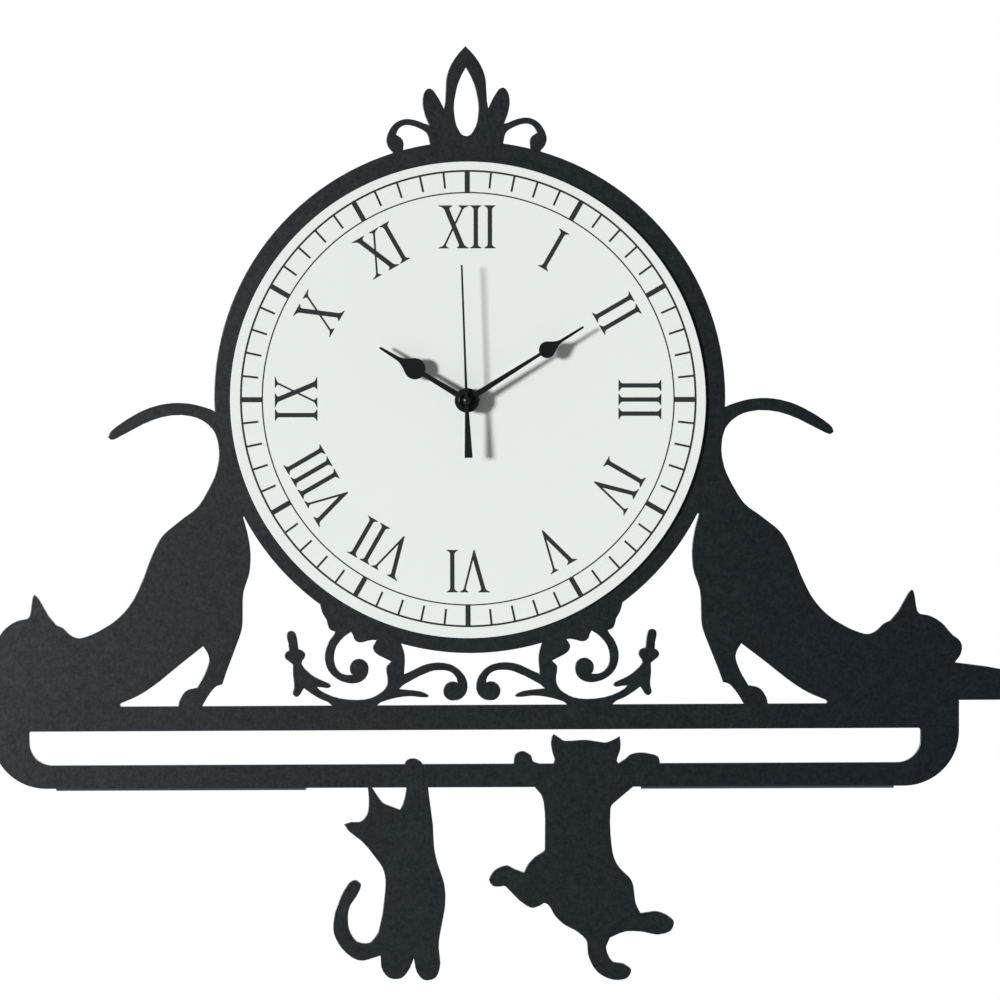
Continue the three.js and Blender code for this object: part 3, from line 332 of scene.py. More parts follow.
@dataclass(frozen=True)
class ZincPlate(Finish):
    """Zinc plated steel: crystal patches and the fine drawn lines of rolled sheet."""

    patch: float = 0.55
    streak: float = 0.12
    stretch: Triple = (1, 1, 0.06)

    def pattern(self, graph: Graph) -> Signal:
        """Patches of even tone, streaked along the height."""
        patches = graph.node("ShaderNodeRGBToBW", None, {0: graph.cells(self.grain, "Color")})
        return (patches * self.patch
                + graph.grain(self.grain * self.streak, stretch=self.stretch) * (1 - self.patch))


@dataclass(frozen=True)
class TurnedBrass(Finish):
    """Turned brass: fine tool rings round the hand axis."""

    axis: Triple = (0, 0, 0)
    waver: float = 0.4
    ring: float = 0.5

    def pattern(self, graph: Graph) -> Signal:
        """Rings at an even pitch along Y and in radius, broken up by grain."""
        rings = graph.node("ShaderNodeTexWave", {"wave_type": "RINGS", "rings_direction": "Y"}, {
            "Vector": graph.spot(self.axis), "Scale": 1 / (self.grain * MM), "Distortion": self.waver})
        return rings * self.ring + graph.grain(self.grain * 2) * (1 - self.ring)


@dataclass(frozen=True)
class WoundWire(Finish):
    """Enamelled wire wound side by side along X. Its colour darkens between the turns as painted shade."""

    pitch: float = 0.2
    back: float = 0.8

    def pattern(self, graph: Graph) -> Signal:
        """Round back of each turn, one less the square of the distance from the wire's middle, with painted
        shade between turns.
        """
        across = (graph.along(0) / self.pitch) % 1.0 * 2.0 - 1.0
        return (1 - across * across) * self.back + graph.grain(self.grain) * (1 - self.back)


@dataclass(frozen=True)
class Laminate(Finish):
    """Lacquered board: woven glass under lacquer, with copper tracks below it."""

    track: float = 1.1
    gap: float = 0.55
    shares: Triple = (0.2, 0.6, 0.2)

    def pattern(self, graph: Graph) -> Signal:
        """Adds the weave of two sets of threads, wide bands of track and grain, each by its share.

        Args:
            graph: the material's graph.

        Returns:
            The share of the pale tone.
        """
        threads, cross = ((graph.along(axis) / self.grain) % 1.0 > 0.5 for axis in (0, 2))
        tracks = (graph.along(0) / (self.track * 2)) % 1.0 > self.gap
        weave, copper, mottle = self.shares
        return abs(threads - cross) * weave + tracks * copper + graph.grain(self.grain * 3) * mottle


@dataclass(frozen=True)
class CellSleeve(Finish):
    """Shrunk sleeve of a plain dry cell: a dark body and a metallic band towards the raised end."""

    band_start: float = 0.7
    band: Triple = (0.5, 0.36, 0.16)
    foil: float = 0.8

    def colour(self, graph: Graph, share: Signal) -> Signal:
        """The body's two tones, then the band's colour past its edge."""
        return graph.blend(self._banded(graph), super().colour(graph, share), self.band)

    def metal(self, graph: Graph) -> Signal:
        """The band is foil, and the body is film."""
        return self.metallic + (1 - self.metallic) * self._banded(graph) * self.foil

    def _banded(self, graph: Graph) -> Signal:
        """One past the band's edge along X."""
        return graph.along(0) > float(cell_box.low[0] + self.band_start * cell_box.size[0])


CHARCOAL = PowderCoat("charcoal_powder_coat", "powder_coat",
                      (0.0001, 0.0025, 0.005), (0.0004, 0.0068, 0.01),
                      1.9, (0.22, 0.5), 0.055, specular=0.76)
DIAL_WHITE = PrintedSheet("dial_white", "dial_print", (0.775, 0.815, 0.783), (0.805, 0.845, 0.815),
                          0.35, (0.62, 0.72), 0.002, specular=0.25)
DIAL_INK = PrintedSheet("dial_ink", "hand_paint", (0.018, 0.022, 0.022), (0.026, 0.031, 0.031),
                        0.3, (0.6, 0.75), 0.002, specular=0.2)
HAND_BLACK = PowderCoat("hand_satin_black", "hand_paint", (0.0018, 0.004, 0.0045), (0.0036, 0.0062, 0.0068),
                        0.3, (0.28, 0.38), 0.001, specular=0.42)
SECOND_BLACK = PowderCoat("second_hand_black", "hand_paint", (0.004, 0.009, 0.008), (0.006, 0.0115, 0.0105),
                          0.3, (0.26, 0.34), 0.001, specular=0.42)
NUT_BLACK = PowderCoat("nut_gloss_black", "hand_paint", (0.0006, 0.0012, 0.0014), (0.0012, 0.002, 0.0022),
                       0.3, (0.2, 0.28), 0.001, specular=0.34)
ZINC = ZincPlate("zinc_plate", "zinc_steel", (0.36, 0.37, 0.385), (0.56, 0.57, 0.575),
                 2.6, (0.42, 0.3), 0.003, metallic=1.0)
BRASS = TurnedBrass("turned_brass", "brass", (0.42, 0.28, 0.07), (0.58, 0.41, 0.13),
                    0.35, (0.34, 0.24), 0.002, metallic=1.0, axis=tuple(hand_axis))
BLACK_MOULDING = PowderCoat("black_moulding", "black_plastic", (0.007, 0.007, 0.008), (0.019, 0.019, 0.021),
                            0.45, (0.42, 0.56), 0.006, speck=0.3)
WHITE_MOULDING = Finish("white_moulding", "white_plastic", (0.66, 0.63, 0.54), (0.76, 0.74, 0.66),
                        1.2, (0.4, 0.52), 0.003)
RUBBER = PowderCoat("black_rubber", "rubber", (0.012, 0.012, 0.012), (0.028, 0.028, 0.027),
                    0.6, (0.78, 0.92), 0.006, specular=0.3)
# The wire's dark tone between turns and pale tone on their backs are painted shade and light.
COPPER = WoundWire("enamelled_wire", "copper_wire", (0.2, 0.055, 0.014), (0.46, 0.15, 0.045),
                   0.5, (0.45, 0.25), 0.05, metallic=0.85, coat=0.5)
BOARD = Laminate("green_laminate", "board", (0.016, 0.07, 0.03), (0.035, 0.135, 0.06),
                 0.4, (0.4, 0.28), 0.02, coat=0.3)
SLEEVE = CellSleeve("cell_sleeve", "battery_sleeve", (0.034, 0.056, 0.095), (0.052, 0.08, 0.125),
                    5.0, (0.3, 0.24), 0.004, metallic=0.2, coat=0.6)
MAGNET = PowderCoat("sintered_magnet", "magnet", (0.045, 0.045, 0.05), (0.1, 0.1, 0.105),
                    0.25, (0.4, 0.6), 0.004, metallic=0.4)


# Mesh making


@dataclass(frozen=True)
class Seat:
    """Where a shape is built: an origin, and the directions of the shape's own three axes."""

    origin: Triple
    right: Triple = (1, 0, 0)
    up: Triple = (0, 0, 1)
    out: Triple = (0, -1, 0)

    def place(self, points: Array) -> Array:
        """Origin plus each of a point's three parts along its axis."""
        return np.asarray(self.origin, float) + points @ np.array([self.right, self.up, self.out], float)


def axis_seat(box: Extent, turn: float = 0.0, lift: float = 0.0) -> Seat:
    """A seat on the hand axis, level with the front of a box, that faces the viewer.

    Args:
        box: the box.
        turn: how far the seat's up direction is turned clockwise, in degrees.
        lift: how far the seat stands above the axis.

    Returns:
        The seat.
    """
    cosine, sine = math.cos(math.radians(turn)), math.sin(math.radians(turn))
    return Seat((hand_axis.x, box.low[1], hand_axis.z + lift), (cosine, 0, -sine), (sine, 0, cosine))


def back_seat(x: float, level: float, z: float) -> Seat:
    """A seat that faces the wall."""
    return Seat((x, level, z), (-1, 0, 0), (0, 0, 1), (0, 1, 0))


def side_seat(box: Extent) -> Seat:
    """A seat in the middle of a box's left end, with its out axis along X."""
    return Seat((box.low[0], *box.centre[1:]), (0, 1, 0), (0, 0, 1), (1, 0, 0))


def level_seat(z: float) -> Seat:
    """A seat at a height, with the frame's own axes."""
    return Seat((0, 0, z), (1, 0, 0), (0, 1, 0), (0, 0, 1))


@dataclass(frozen=True)
class Shell:
    """One closed skin: its points and its faces."""

    points: Array
    faces: list[list[int]]

    def turned(self, angle: float) -> Shell:
        """The shell turned clockwise in its own plane, by an angle in radians."""
        cosine, sine = math.cos(angle), math.sin(angle)
        return Shell(self.points @ np.array([[cosine, -sine, 0], [sine, cosine, 0], [0, 0, 1]]), self.faces)

    def moved(self, x: float, y: float, level: float = 0.0) -> Shell:
        """The shell moved by three lengths."""
        return Shell(self.points + np.array([x, y, level]), self.faces)


def even_angles(sides: int) -> Array:
    """Even steps round a full turn."""
    return np.arange(sides) * FULL_TURN / sides


def points_of(x: Array | float, y: Array | float, level: Array | float) -> Array:
    """Points from their three parts, each spread over the same grid."""
    return np.stack(np.broadcast_arrays(x, y, level), -1)


def polar(radius: Array | float, angle: Array, level: Array | float) -> Array:
    """Points at a radius and an angle round the out axis, at a level."""
    return points_of(radius * np.cos(angle), radius * np.sin(angle), level)


def loft(sections: Array, endless: bool = False, capped: bool = True) -> Shell:
    """Skin over closed sections: quads join point j of section i to its neighbours in both directions.

    Args:
        sections: points by section, then by place round the section.
        endless: whether the last section joins the first one.
        capped: whether a single face closes each end.

    Returns:
        The skin as a shell.
    """
    count, around, _ = sections.shape
    index = np.arange(count * around).reshape(count, around)
    near = index if endless else index[:-1]
    far = np.roll(index, -1, 0) if endless else index[1:]
    quads = np.stack([near, np.roll(near, -1, 1), np.roll(far, -1, 1), far], -1).reshape(-1, 4).tolist()
    if capped and not endless:
        quads += [index[0, ::-1].tolist(), index[-1].tolist()]
    return Shell(sections.reshape(-1, 3), quads)


def straight_band(y: Array, left: Array, right: Array, low: float, high: float) -> Shell:
    """A flat section, from a left to a right edge and a low to a high level, carried along y."""
    corners = ((left, low), (right, low), (right, high), (left, high))
    return loft(np.stack([points_of(x, y, level) for x, level in corners], 1))


def curved_band(angle: Array, inner: Array | float, outer: Array | float, low: float, high: float,
                endless: bool = False) -> Shell:
    """A flat section carried round the out axis.

    Args:
        angle: each station's angle clockwise from the top.
        inner: the section's inner radius.
        outer: its outer radius.
        low: its lowest level.
        high: its highest level.
        endless: whether it goes all the way round.

    Returns:
        The band.
    """
    corners = ((inner, low), (outer, low), (outer, high), (inner, high))
    rows = [polar(radius, QUARTER_TURN - angle, level) for radius, level in corners]
    return loft(np.stack(rows, 1), endless)


def turning(profile: Array, sides: int, hollow: bool = False) -> Shell:
    """Carries each profile point, a radius and a level, round the out axis. A hollow part's is a loop."""
    return loft(polar(profile[:, :1], even_angles(sides), profile[:, 1:]), endless=hollow, capped=False)


def rounded(corners: list[Triple], steps: int = 5) -> Array:
    """A profile through corners, as curves and straight runs.

    Each corner is a quadratic curve from the point one radius before it to the point one radius after it.

    Args:
        corners: radius, level and rounding radius of each. An open profile's ends have no rounding.
        steps: points in each curve.

    Returns:
        The radius and level of each point.
    """
    points = np.array(corners, float)
    place, radius = points[:, :2], points[:, 2:]
    before, after = np.roll(place, 1, 0) - place, np.roll(place, -1, 0) - place
    start = place + before / np.linalg.norm(before, axis=1, keepdims=True) * radius
    end = place + after / np.linalg.norm(after, axis=1, keepdims=True) * radius
    share = np.linspace(0, 1, steps)[None, :, None]
    straight = start[:, None] * (1 - share) ** 2 + end[:, None] * share ** 2
    curves = straight + place[:, None] * 2 * share * (1 - share)
    keep = np.ones((len(points), steps), bool)
    keep[:, 1:] = radius > 0
    return curves[keep]


def make_piece(name: str, shells: list[Shell], seat: Seat) -> Piece:
    """Makes one object of several shells, smooth but for its sharp edges, with flat faces kept flat.

    Args:
        name: the piece's name.
        shells: its skins, in the seat's own axes, in millimetres.
        seat: where it stands.

    Returns:
        An object at the origin with its place in its mesh.
    """
    starts = np.cumsum([0] + [len(shell.points) for shell in shells])
    points = seat.place(np.concatenate([shell.points for shell in shells])) * MM
    faces = [[corner + int(start) for corner in face]
             for shell, start in zip(shells, starts) for face in shell.faces]
    mesh = bpy.data.meshes.new(name)
    mesh.from_pydata(points.tolist(), [], faces)
    tidy_mesh(mesh)
    mesh.shade_smooth()
    mesh.set_sharp_from_angle(angle=SHARP_ANGLE)
    piece = bpy.data.objects.new(name, mesh)
    bpy.context.scene.collection.objects.link(piece)
    weighted = piece.modifiers.new("flat_faces", "WEIGHTED_NORMAL")
    weighted.keep_sharp = True
    return piece


def tidy_mesh(mesh: bpy.types.Mesh) -> None:
    """Merges doubled points, closes poles and turns faces outwards.

    Args:
        mesh: the mesh to tidy.
    """
    work = bmesh.new()
    work.from_mesh(mesh)
    bmesh.ops.remove_doubles(work, verts=work.verts, dist=SAME_POINT)
    bmesh.ops.dissolve_degenerate(work, edges=work.edges, dist=SAME_POINT)
    bmesh.ops.recalc_face_normals(work, faces=work.faces)
    work.to_mesh(mesh)
    work.free()


def merged(node: str) -> tuple[Array, Array]:
    """Reads a CAD node's mesh.

    Args:
        node: the node's name.

    Returns:
        Its points, in millimetres and each kept once, and its triangles.
    """
    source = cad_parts[node].data
    points = np.empty(len(source.vertices) * 3)
    source.vertices.foreach_get("co", points)
    corners = np.empty(len(source.loops), np.int32)
    source.loops.foreach_get("vertex_index", corners)
    kept, index = np.unique(np.round(points.reshape(-1, 3) / MM, 4), axis=0, return_inverse=True)
    faces = index.ravel()[corners].reshape(-1, 3)
    return kept, faces[(faces != np.roll(faces, 1, 1)).all(1)]


def unit(vectors: Array) -> Array:
    """Vectors of length one."""
    return vectors / np.maximum(np.linalg.norm(vectors, axis=-1, keepdims=True), SHORTEST)


def flat_face(edges: Array, level: float) -> Shell:
    """The triangles of a flat face across Y.

    The edges round it are joined by a Delaunay triangulation, and a triangle is kept where a line to the
    right from its middle crosses the edges an odd number of times.

    Args:
        edges: the start and end of each edge, as x and z.
        level: the face's place along Y.

    Returns:
        The face as a shell.
    """
    pairs = np.arange(len(edges) * 2).reshape(-1, 2)
    corners = [Vector(corner) for corner in edges.reshape(-1, 2)]
    found, _, triangles, *_ = delaunay_2d_cdt(corners, pairs.tolist(), [], 0, SAME_CORNER)
    places, triangles = np.array(found), np.array(triangles)
    middle = places[triangles].mean(1)[:, None]
    start, end = edges[:, 0], edges[:, 1]
    rising = end[:, 1] > start[:, 1]
    spanning = (start[:, 1] > middle[..., 1]) != (end[:, 1] > middle[..., 1])
    along, reach = end - start, middle - start
    left = along[:, 0] * reach[..., 1] - along[:, 1] * reach[..., 0] > 0
    inside = (spanning & (left == rising)).sum(1) % 2 == 1
    return Shell(points_of(places[:, 0], level, places[:, 1]), triangles[inside].tolist())


def rim_rounded(node: str, radius: float, steps: int = 3) -> Piece:
    """A copy of a CAD node whose flat front and back faces have rounded rims.

    A rim edge joins a face across Y to a wall behind it. Each point between two rim edges is repeated along
    a quarter circle: its inset, along the mitre of its two edges, is the radius times one less the cosine,
    and its drop behind the face is the radius times one less the sine. Where the inset would turn a short
    edge round, the edge's two points share one inset. Other points stay where they are, and each flat face
    is made afresh inside its rim.

    Args:
        node: the node to copy.
        radius: radius of the rounding, in millimetres.
        steps: strips in a quarter circle.

    Returns:
        The copy.
    """
    points, faces = merged(node)
    corners = points[faces]
    normals = unit(np.cross(corners[:, 1] - corners[:, 0], corners[:, 2] - corners[:, 0]))
    flat = np.abs(normals[:, 1]) > ALIGNED
    # Each triangle's edges, with the triangle on the other side
    start, end = faces.ravel(), np.roll(faces, -1, 1).ravel()
    owner = np.repeat(np.arange(len(faces)), 3)
    order = np.argsort(start * len(points) + end)
    found = np.searchsorted(start * len(points) + end, end * len(points) + start, sorter=order)
    partner = owner[order[found]]
    # Outlines of the flat faces, and the rims among them
    outline = flat[owner] & ((normals[owner] * normals[partner]).sum(1) < ALIGNED)
    behind = ((corners.mean(1)[partner] - points[start]) * normals[owner]).sum(1) < 0
    rim = outline & behind & (np.abs(normals[partner, 1]) < UPRIGHT)
    inward = unit(np.cross(normals[owner], points[end] - points[start]))
    after, before, facing = (np.zeros_like(points) for _ in range(3))
    after[start[outline]] = inward[outline]
    before[end[outline]] = inward[outline]
    facing[start[outline]] = normals[owner[outline]]
    # Points between two rim edges, repeated along the quarter circle
    hard = outline & ~rim
    soft = np.intersect1d(np.setdiff1d(start[rim], start[hard]), np.setdiff1d(end[rim], end[hard]))
    mitre = (after + before)[soft] / np.maximum(1 + (after * before).sum(1)[soft], MITRE_LIMIT)[:, None]
    angle = np.linspace(0, QUARTER_TURN, steps + 1)[:, None, None]
    rings = points[soft] + radius * ((1 - np.cos(angle)) * mitre - (1 - np.sin(angle)) * facing[soft])
    # One inset for both ends of an edge that would turn round
    order_of = np.full(len(points), -1)
    order_of[soft] = np.arange(len(soft))
    pairs = order_of[np.stack([start[outline], end[outline]], 1)]
    pairs = pairs[(pairs >= 0).all(1)]
    runs = rings[:, pairs[:, 1]] - rings[:, pairs[:, 0]]
    turned = pairs[(runs[0] * runs[-1]).sum(1) <= 0]
    rings[1:, turned] = rings[1:, turned].mean(2, keepdims=True)
    # Strips between the rings, then the flat faces inside them
    index = np.tile(np.arange(len(points)), (steps + 1, 1))
    index[1:, soft] = len(points) + np.arange(steps * len(soft)).reshape(steps, -1)
    points[soft] = rings[0]
    starts, ends = index[:, start[outline]], index[:, end[outline]]
    strips = np.concatenate([np.stack([starts[:-1], ends[:-1], ends[1:]], -1).reshape(-1, 3),
                             np.stack([starts[:-1], ends[1:], starts[1:]], -1).reshape(-1, 3)])
    strips = strips[(strips != np.roll(strips, 1, 1)).all(1)]
    skin = np.concatenate([points, rings[1:].reshape(-1, 3)])
    shells = [Shell(skin, np.concatenate([faces[~flat], strips]).tolist())]
    edges = skin[np.stack([starts[-1], ends[-1]], 1)][..., [0, 2]]
    sides = np.column_stack([corners.mean(1)[:, 1].round(3), normals[:, 1].round()])[owner[outline]]
    for side in np.unique(sides, axis=0):
        shells.append(flat_face(edges[(sides == side).all(1)], side[0]))
    piece = make_piece(node + "_rounded", shells, level_seat(0))
    keep_flat(piece.data)
    return piece


def keep_flat(mesh: bpy.types.Mesh) -> None:
    """Marks every edge of the triangles that lie across Y as sharp, so that they shade as one flat face.

    Args:
        mesh: a mesh of triangles.
    """
    normals = np.empty(len(mesh.polygons) * 3)
    mesh.polygons.foreach_get("normal", normals)
    edges = np.empty(len(mesh.loops), np.int32)
    mesh.loops.foreach_get("edge_index", edges)
    across = np.abs(normals.reshape(-1, 3)[:, 1]) > ALIGNED
    sharp = np.zeros(len(mesh.edges), bool)
    mesh.edges.foreach_get("use_edge_sharp", sharp)
    sharp[edges.reshape(-1, 3)[across]] = True
    mesh.edges.foreach_set("use_edge_sharp", sharp)


def settle(piece: Piece, body: str, finish: Finish, *nodes: str) -> Piece:
    """Dresses a piece and gives it its place in the clock.

    Args:
        piece: the new piece.
        body: the CAD body that it rides on.
        finish: its finish.
        nodes: CAD nodes that it stands for.

    Returns:
        The piece.
    """
    finish.dress(piece)
    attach(piece, body)
    if nodes:
        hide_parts(*nodes)
    return piece


def soften(node: str, body: str, finish: Finish, radius: float) -> Piece:
    """Stands a copy with rounded rims in a CAD node's place."""
    return settle(rim_rounded(node, radius), body, finish, node)


# Sub-assemblies


@dataclass
class SheetFrame:
    """The cut steel silhouette and the hanger bracket on its back."""

    edge: float = 0.3
    strap_edge: float = 0.25
    strap_depth: float = 1.5
    rivet_radius: float = 2.6
    rivet_height: float = 0.9
    rivet_fall: float = 0.75
    rivet_root: float = 0.3
    rivet_spread: float = 7.0
    rivet_foot: float = 6.5
    rivet_rings: int = 8
    rivet_sides: int = 32

    def build(self) -> Iterator[Piece]:
        """Makes the pieces.

        Yields:
            The silhouette, the bracket and its rivets.
        """
        yield soften("frame_plate", "frame", CHARCOAL, self.edge)
        yield soften("hanger_bracket", "frame", ZINC, self.strap_edge)
        yield settle(self.rivets(), "frame", ZINC)

    def rivets(self) -> Piece:
        """Makes four low domes, two on each foot of the bracket. Height falls with the radius squared.

        Returns:
            The rivets.
        """
        strap = Extent.of("hanger_bracket")
        radius = np.linspace(0, self.rivet_radius, self.rivet_rings)
        dome = self.rivet_height * (1 - (radius / self.rivet_radius) ** 2 * self.rivet_fall)
        root = [[self.rivet_radius, -self.rivet_root], [0, -self.rivet_root]]
        head = turning(np.vstack([np.column_stack([radius, dome]), root]), self.rivet_sides)
        rows = (strap.low[2] + self.rivet_foot, strap.high[2] - self.rivet_foot)
        shells = [head.moved(x, z) for z in rows for x in (-self.rivet_spread, self.rivet_spread)]
        return make_piece("hanger_rivets", shells, back_seat(0, strap.low[1] + self.strap_depth, 0))


class Letter(Enum):
    """Letters of the hour numerals."""

    ONE = "I"
    FIVE = "V"
    TEN = "X"


@dataclass(frozen=True)
class Stroke:
    """A straight stroke of a letter, by its middle at the foot and at the top, its width and its serifs.

    A stroke may be trimmed by a line on its left and one on its right, each given at the foot and the top.
    The ink of a lower stroke is thinner.
    """

    foot: float
    top: float
    width: float
    foot_serif: float
    top_serif: float
    left_trim: tuple[float, float] = (-FAR_OFF, -FAR_OFF)
    right_trim: tuple[float, float] = (FAR_OFF, FAR_OFF)
    lower: bool = False


@dataclass
class PrintedDial:
    """The round dial and its print: a minute track and Roman hours that stand outwards from the centre.

    The print is turned by a small angle, in degrees, and stands a little above the hand axis.
    """

    edge: float = 0.35
    sides: int = 240
    hole: float = 4.3
    ink: float = 0.05
    ink_step: float = 0.01
    turn: float = 0.46
    lift: float = 0.2
    outer_line: float = 113.4
    outer_width: float = 0.98
    inner_line: float = 102.7
    inner_width: float = 0.66
    minute_start: float = 105.3
    minute_width: float = 1.05
    hour_width: float = 2.56
    foot: float = 75.1
    top: float = 96.4
    stem: float = 2.2
    five_stem: float = 2.2
    ten_stem: float = 2.6
    hairline: float = 1.05
    one_advance: float = 7.0
    five_advance: float = 15.7
    ten_advance: float = 15.4
    serif_depth: float = 0.4
    bracket: float = 2.0
    stations: int = 41

    def build(self) -> Iterator[Piece]:
        """Makes the pieces.

        Yields:
            The disc, the track and the hours.
        """
        yield settle(self.disc(), "frame", DIAL_WHITE, "dial_plate")
        yield settle(self.track(), "frame", DIAL_INK)
        yield settle(self.hours(), "frame", DIAL_INK)

    def seat(self) -> Seat:
        """The print's seat: the dial's front near the hand axis, turned as the print is."""
        return axis_seat(Extent.of("dial_plate"), self.turn, self.lift)

    def disc(self) -> Piece:
        """Makes a disc with a rounded rim: each point of its section goes round a circle.

        The rim's circles have the disc's centre, and the hole's circles have the hand axis.

        Returns:
            The disc.
        """
        box = Extent.of("dial_plate")
        radius, depth = box.size[0] / 2, box.size[1]
        section = rounded([(self.hole, -depth, 0), (radius, -depth, self.edge), (radius, 0, self.edge),
                           (self.hole, 0, 0)])
        offset = np.array([box.centre[0] - hand_axis.x, box.centre[2] - hand_axis.z])
        shell = turning(section, self.sides, hollow=True)
        rings = shell.points.reshape(len(section), self.sides, 3)
        rings[:, :, :2] += np.where(section[:, :1] > self.hole, offset, 0)[:, None]
        return make_piece("dial_disc", [Shell(rings.reshape(-1, 3), shell.faces)], axis_seat(box))

    def bar(self, y: Array, left: Array, right: Array, step: int) -> Shell:
        """A flat printed bar along y. Each step thins its ink, so that bars that cross share no face."""
        high = self.ink - step * self.ink_step
        return straight_band(y, left, right, -high, high)

    def ring(self, radius: float, width: float) -> Shell:
        """A printed line round the centre: a flat section carried along a circle."""
        inner, outer = radius - width / 2, radius + width / 2
        return curved_band(even_angles(self.sides), inner, outer, -self.ink, self.ink, endless=True)

    def tick(self, start: float, width: float) -> Shell:
        """A straight mark from a radius out to the outer line."""
        half = np.full(2, width / 2)
        return self.bar(np.array([start, self.outer_line]), -half, half, 1)

    def track(self) -> Piece:
        """Makes two lines round the dial with sixty marks, every fifth one wide and full length.

        Returns:
            The track.
        """
        hour = self.tick(self.inner_line, self.hour_width)
        minute = self.tick(self.minute_start, self.minute_width)
        marks = [(minute if index % 5 else hour).turned(index * FULL_TURN / 60) for index in range(60)]
        lines = [self.ring(self.outer_line, self.outer_width), self.ring(self.inner_line, self.inner_width)]
        return make_piece("minute_track", lines + marks, self.seat())

    def strokes(self, letter: Letter) -> list[Stroke]:
        """Lays out a letter. A five's strokes end on each other's outer edge at its foot.

        Args:
            letter: which letter.

        Returns:
            Its strokes.
        """
        if letter is Letter.ONE:
            return [Stroke(foot=0, top=0, width=self.stem, foot_serif=5.7, top_serif=5.7)]
        if letter is Letter.TEN:
            return [Stroke(foot=4.85, top=-4.0, width=self.ten_stem, foot_serif=6.0, top_serif=7.0),
                    Stroke(foot=-5.0, top=5.35, width=self.hairline, foot_serif=5.0, top_serif=5.4,
                           lower=True)]
        wide, fine, tip, middle = self.five_stem / 2, self.hairline / 2, 0.3, 0.44
        wide_top, fine_top = -4.7, 5.56
        left = (middle - tip, wide_top - wide)
        right = (middle + tip, fine_top + fine)
        return [Stroke(left[0] + wide, wide_top, 2 * wide, foot_serif=0, top_serif=5.9, right_trim=right),
                Stroke(right[0] - fine, fine_top, 2 * fine, foot_serif=0, top_serif=4.4, left_trim=left,
                       lower=True)]

    def stroke_shell(self, stroke: Stroke) -> Shell:
        """Shapes a stroke with bracketed serifs.

        Stations crowd towards both ends. The half width is the stroke's own, plus at each end a flare that
        is full through the serif's depth and then dies away as the cube of what is left of the bracket.

        Args:
            stroke: the stroke.

        Returns:
            Its shell.
        """
        share = (1 - np.cos(np.linspace(0, math.pi, self.stations))) / 2
        height = self.top - self.foot
        middle = stroke.foot + (stroke.top - stroke.foot) * share
        half = np.full_like(share, stroke.width / 2)
        ends = ((stroke.foot_serif, share * height), (stroke.top_serif, (1 - share) * height))
        for serif, distance in ends:
            left_over = np.clip(1 - (distance - self.serif_depth) / self.bracket, 0, 1)
            half += max(serif - stroke.width, 0) / 2 * left_over ** 3
        left = np.maximum(middle - half, np.interp(share, [0, 1], stroke.left_trim))
        right = np.minimum(middle + half, np.interp(share, [0, 1], stroke.right_trim))
        return self.bar(self.foot + share * height, left, right, int(stroke.lower))

    def hours(self) -> Piece:
        """Makes twelve numerals. Letters stand side by side by their advance, centred on their hour.

        Returns:
            The numerals.
        """
        advance = {Letter.ONE: self.one_advance, Letter.FIVE: self.five_advance,
                   Letter.TEN: self.ten_advance}
        drawn = {letter: [self.stroke_shell(stroke) for stroke in self.strokes(letter)] for letter in Letter}
        shells = []
        for hour, name in enumerate(HOURS, 1):
            letters = [Letter(sign) for sign in name]
            widths = np.array([advance[letter] for letter in letters])
            middles = np.cumsum(widths) - widths / 2 - widths.sum() / 2
            for letter, middle in zip(letters, middles):
                shells += [shell.moved(middle, 0).turned(hour * FULL_TURN / 12) for shell in drawn[letter]]
        return make_piece("hour_numerals", shells, self.seat())


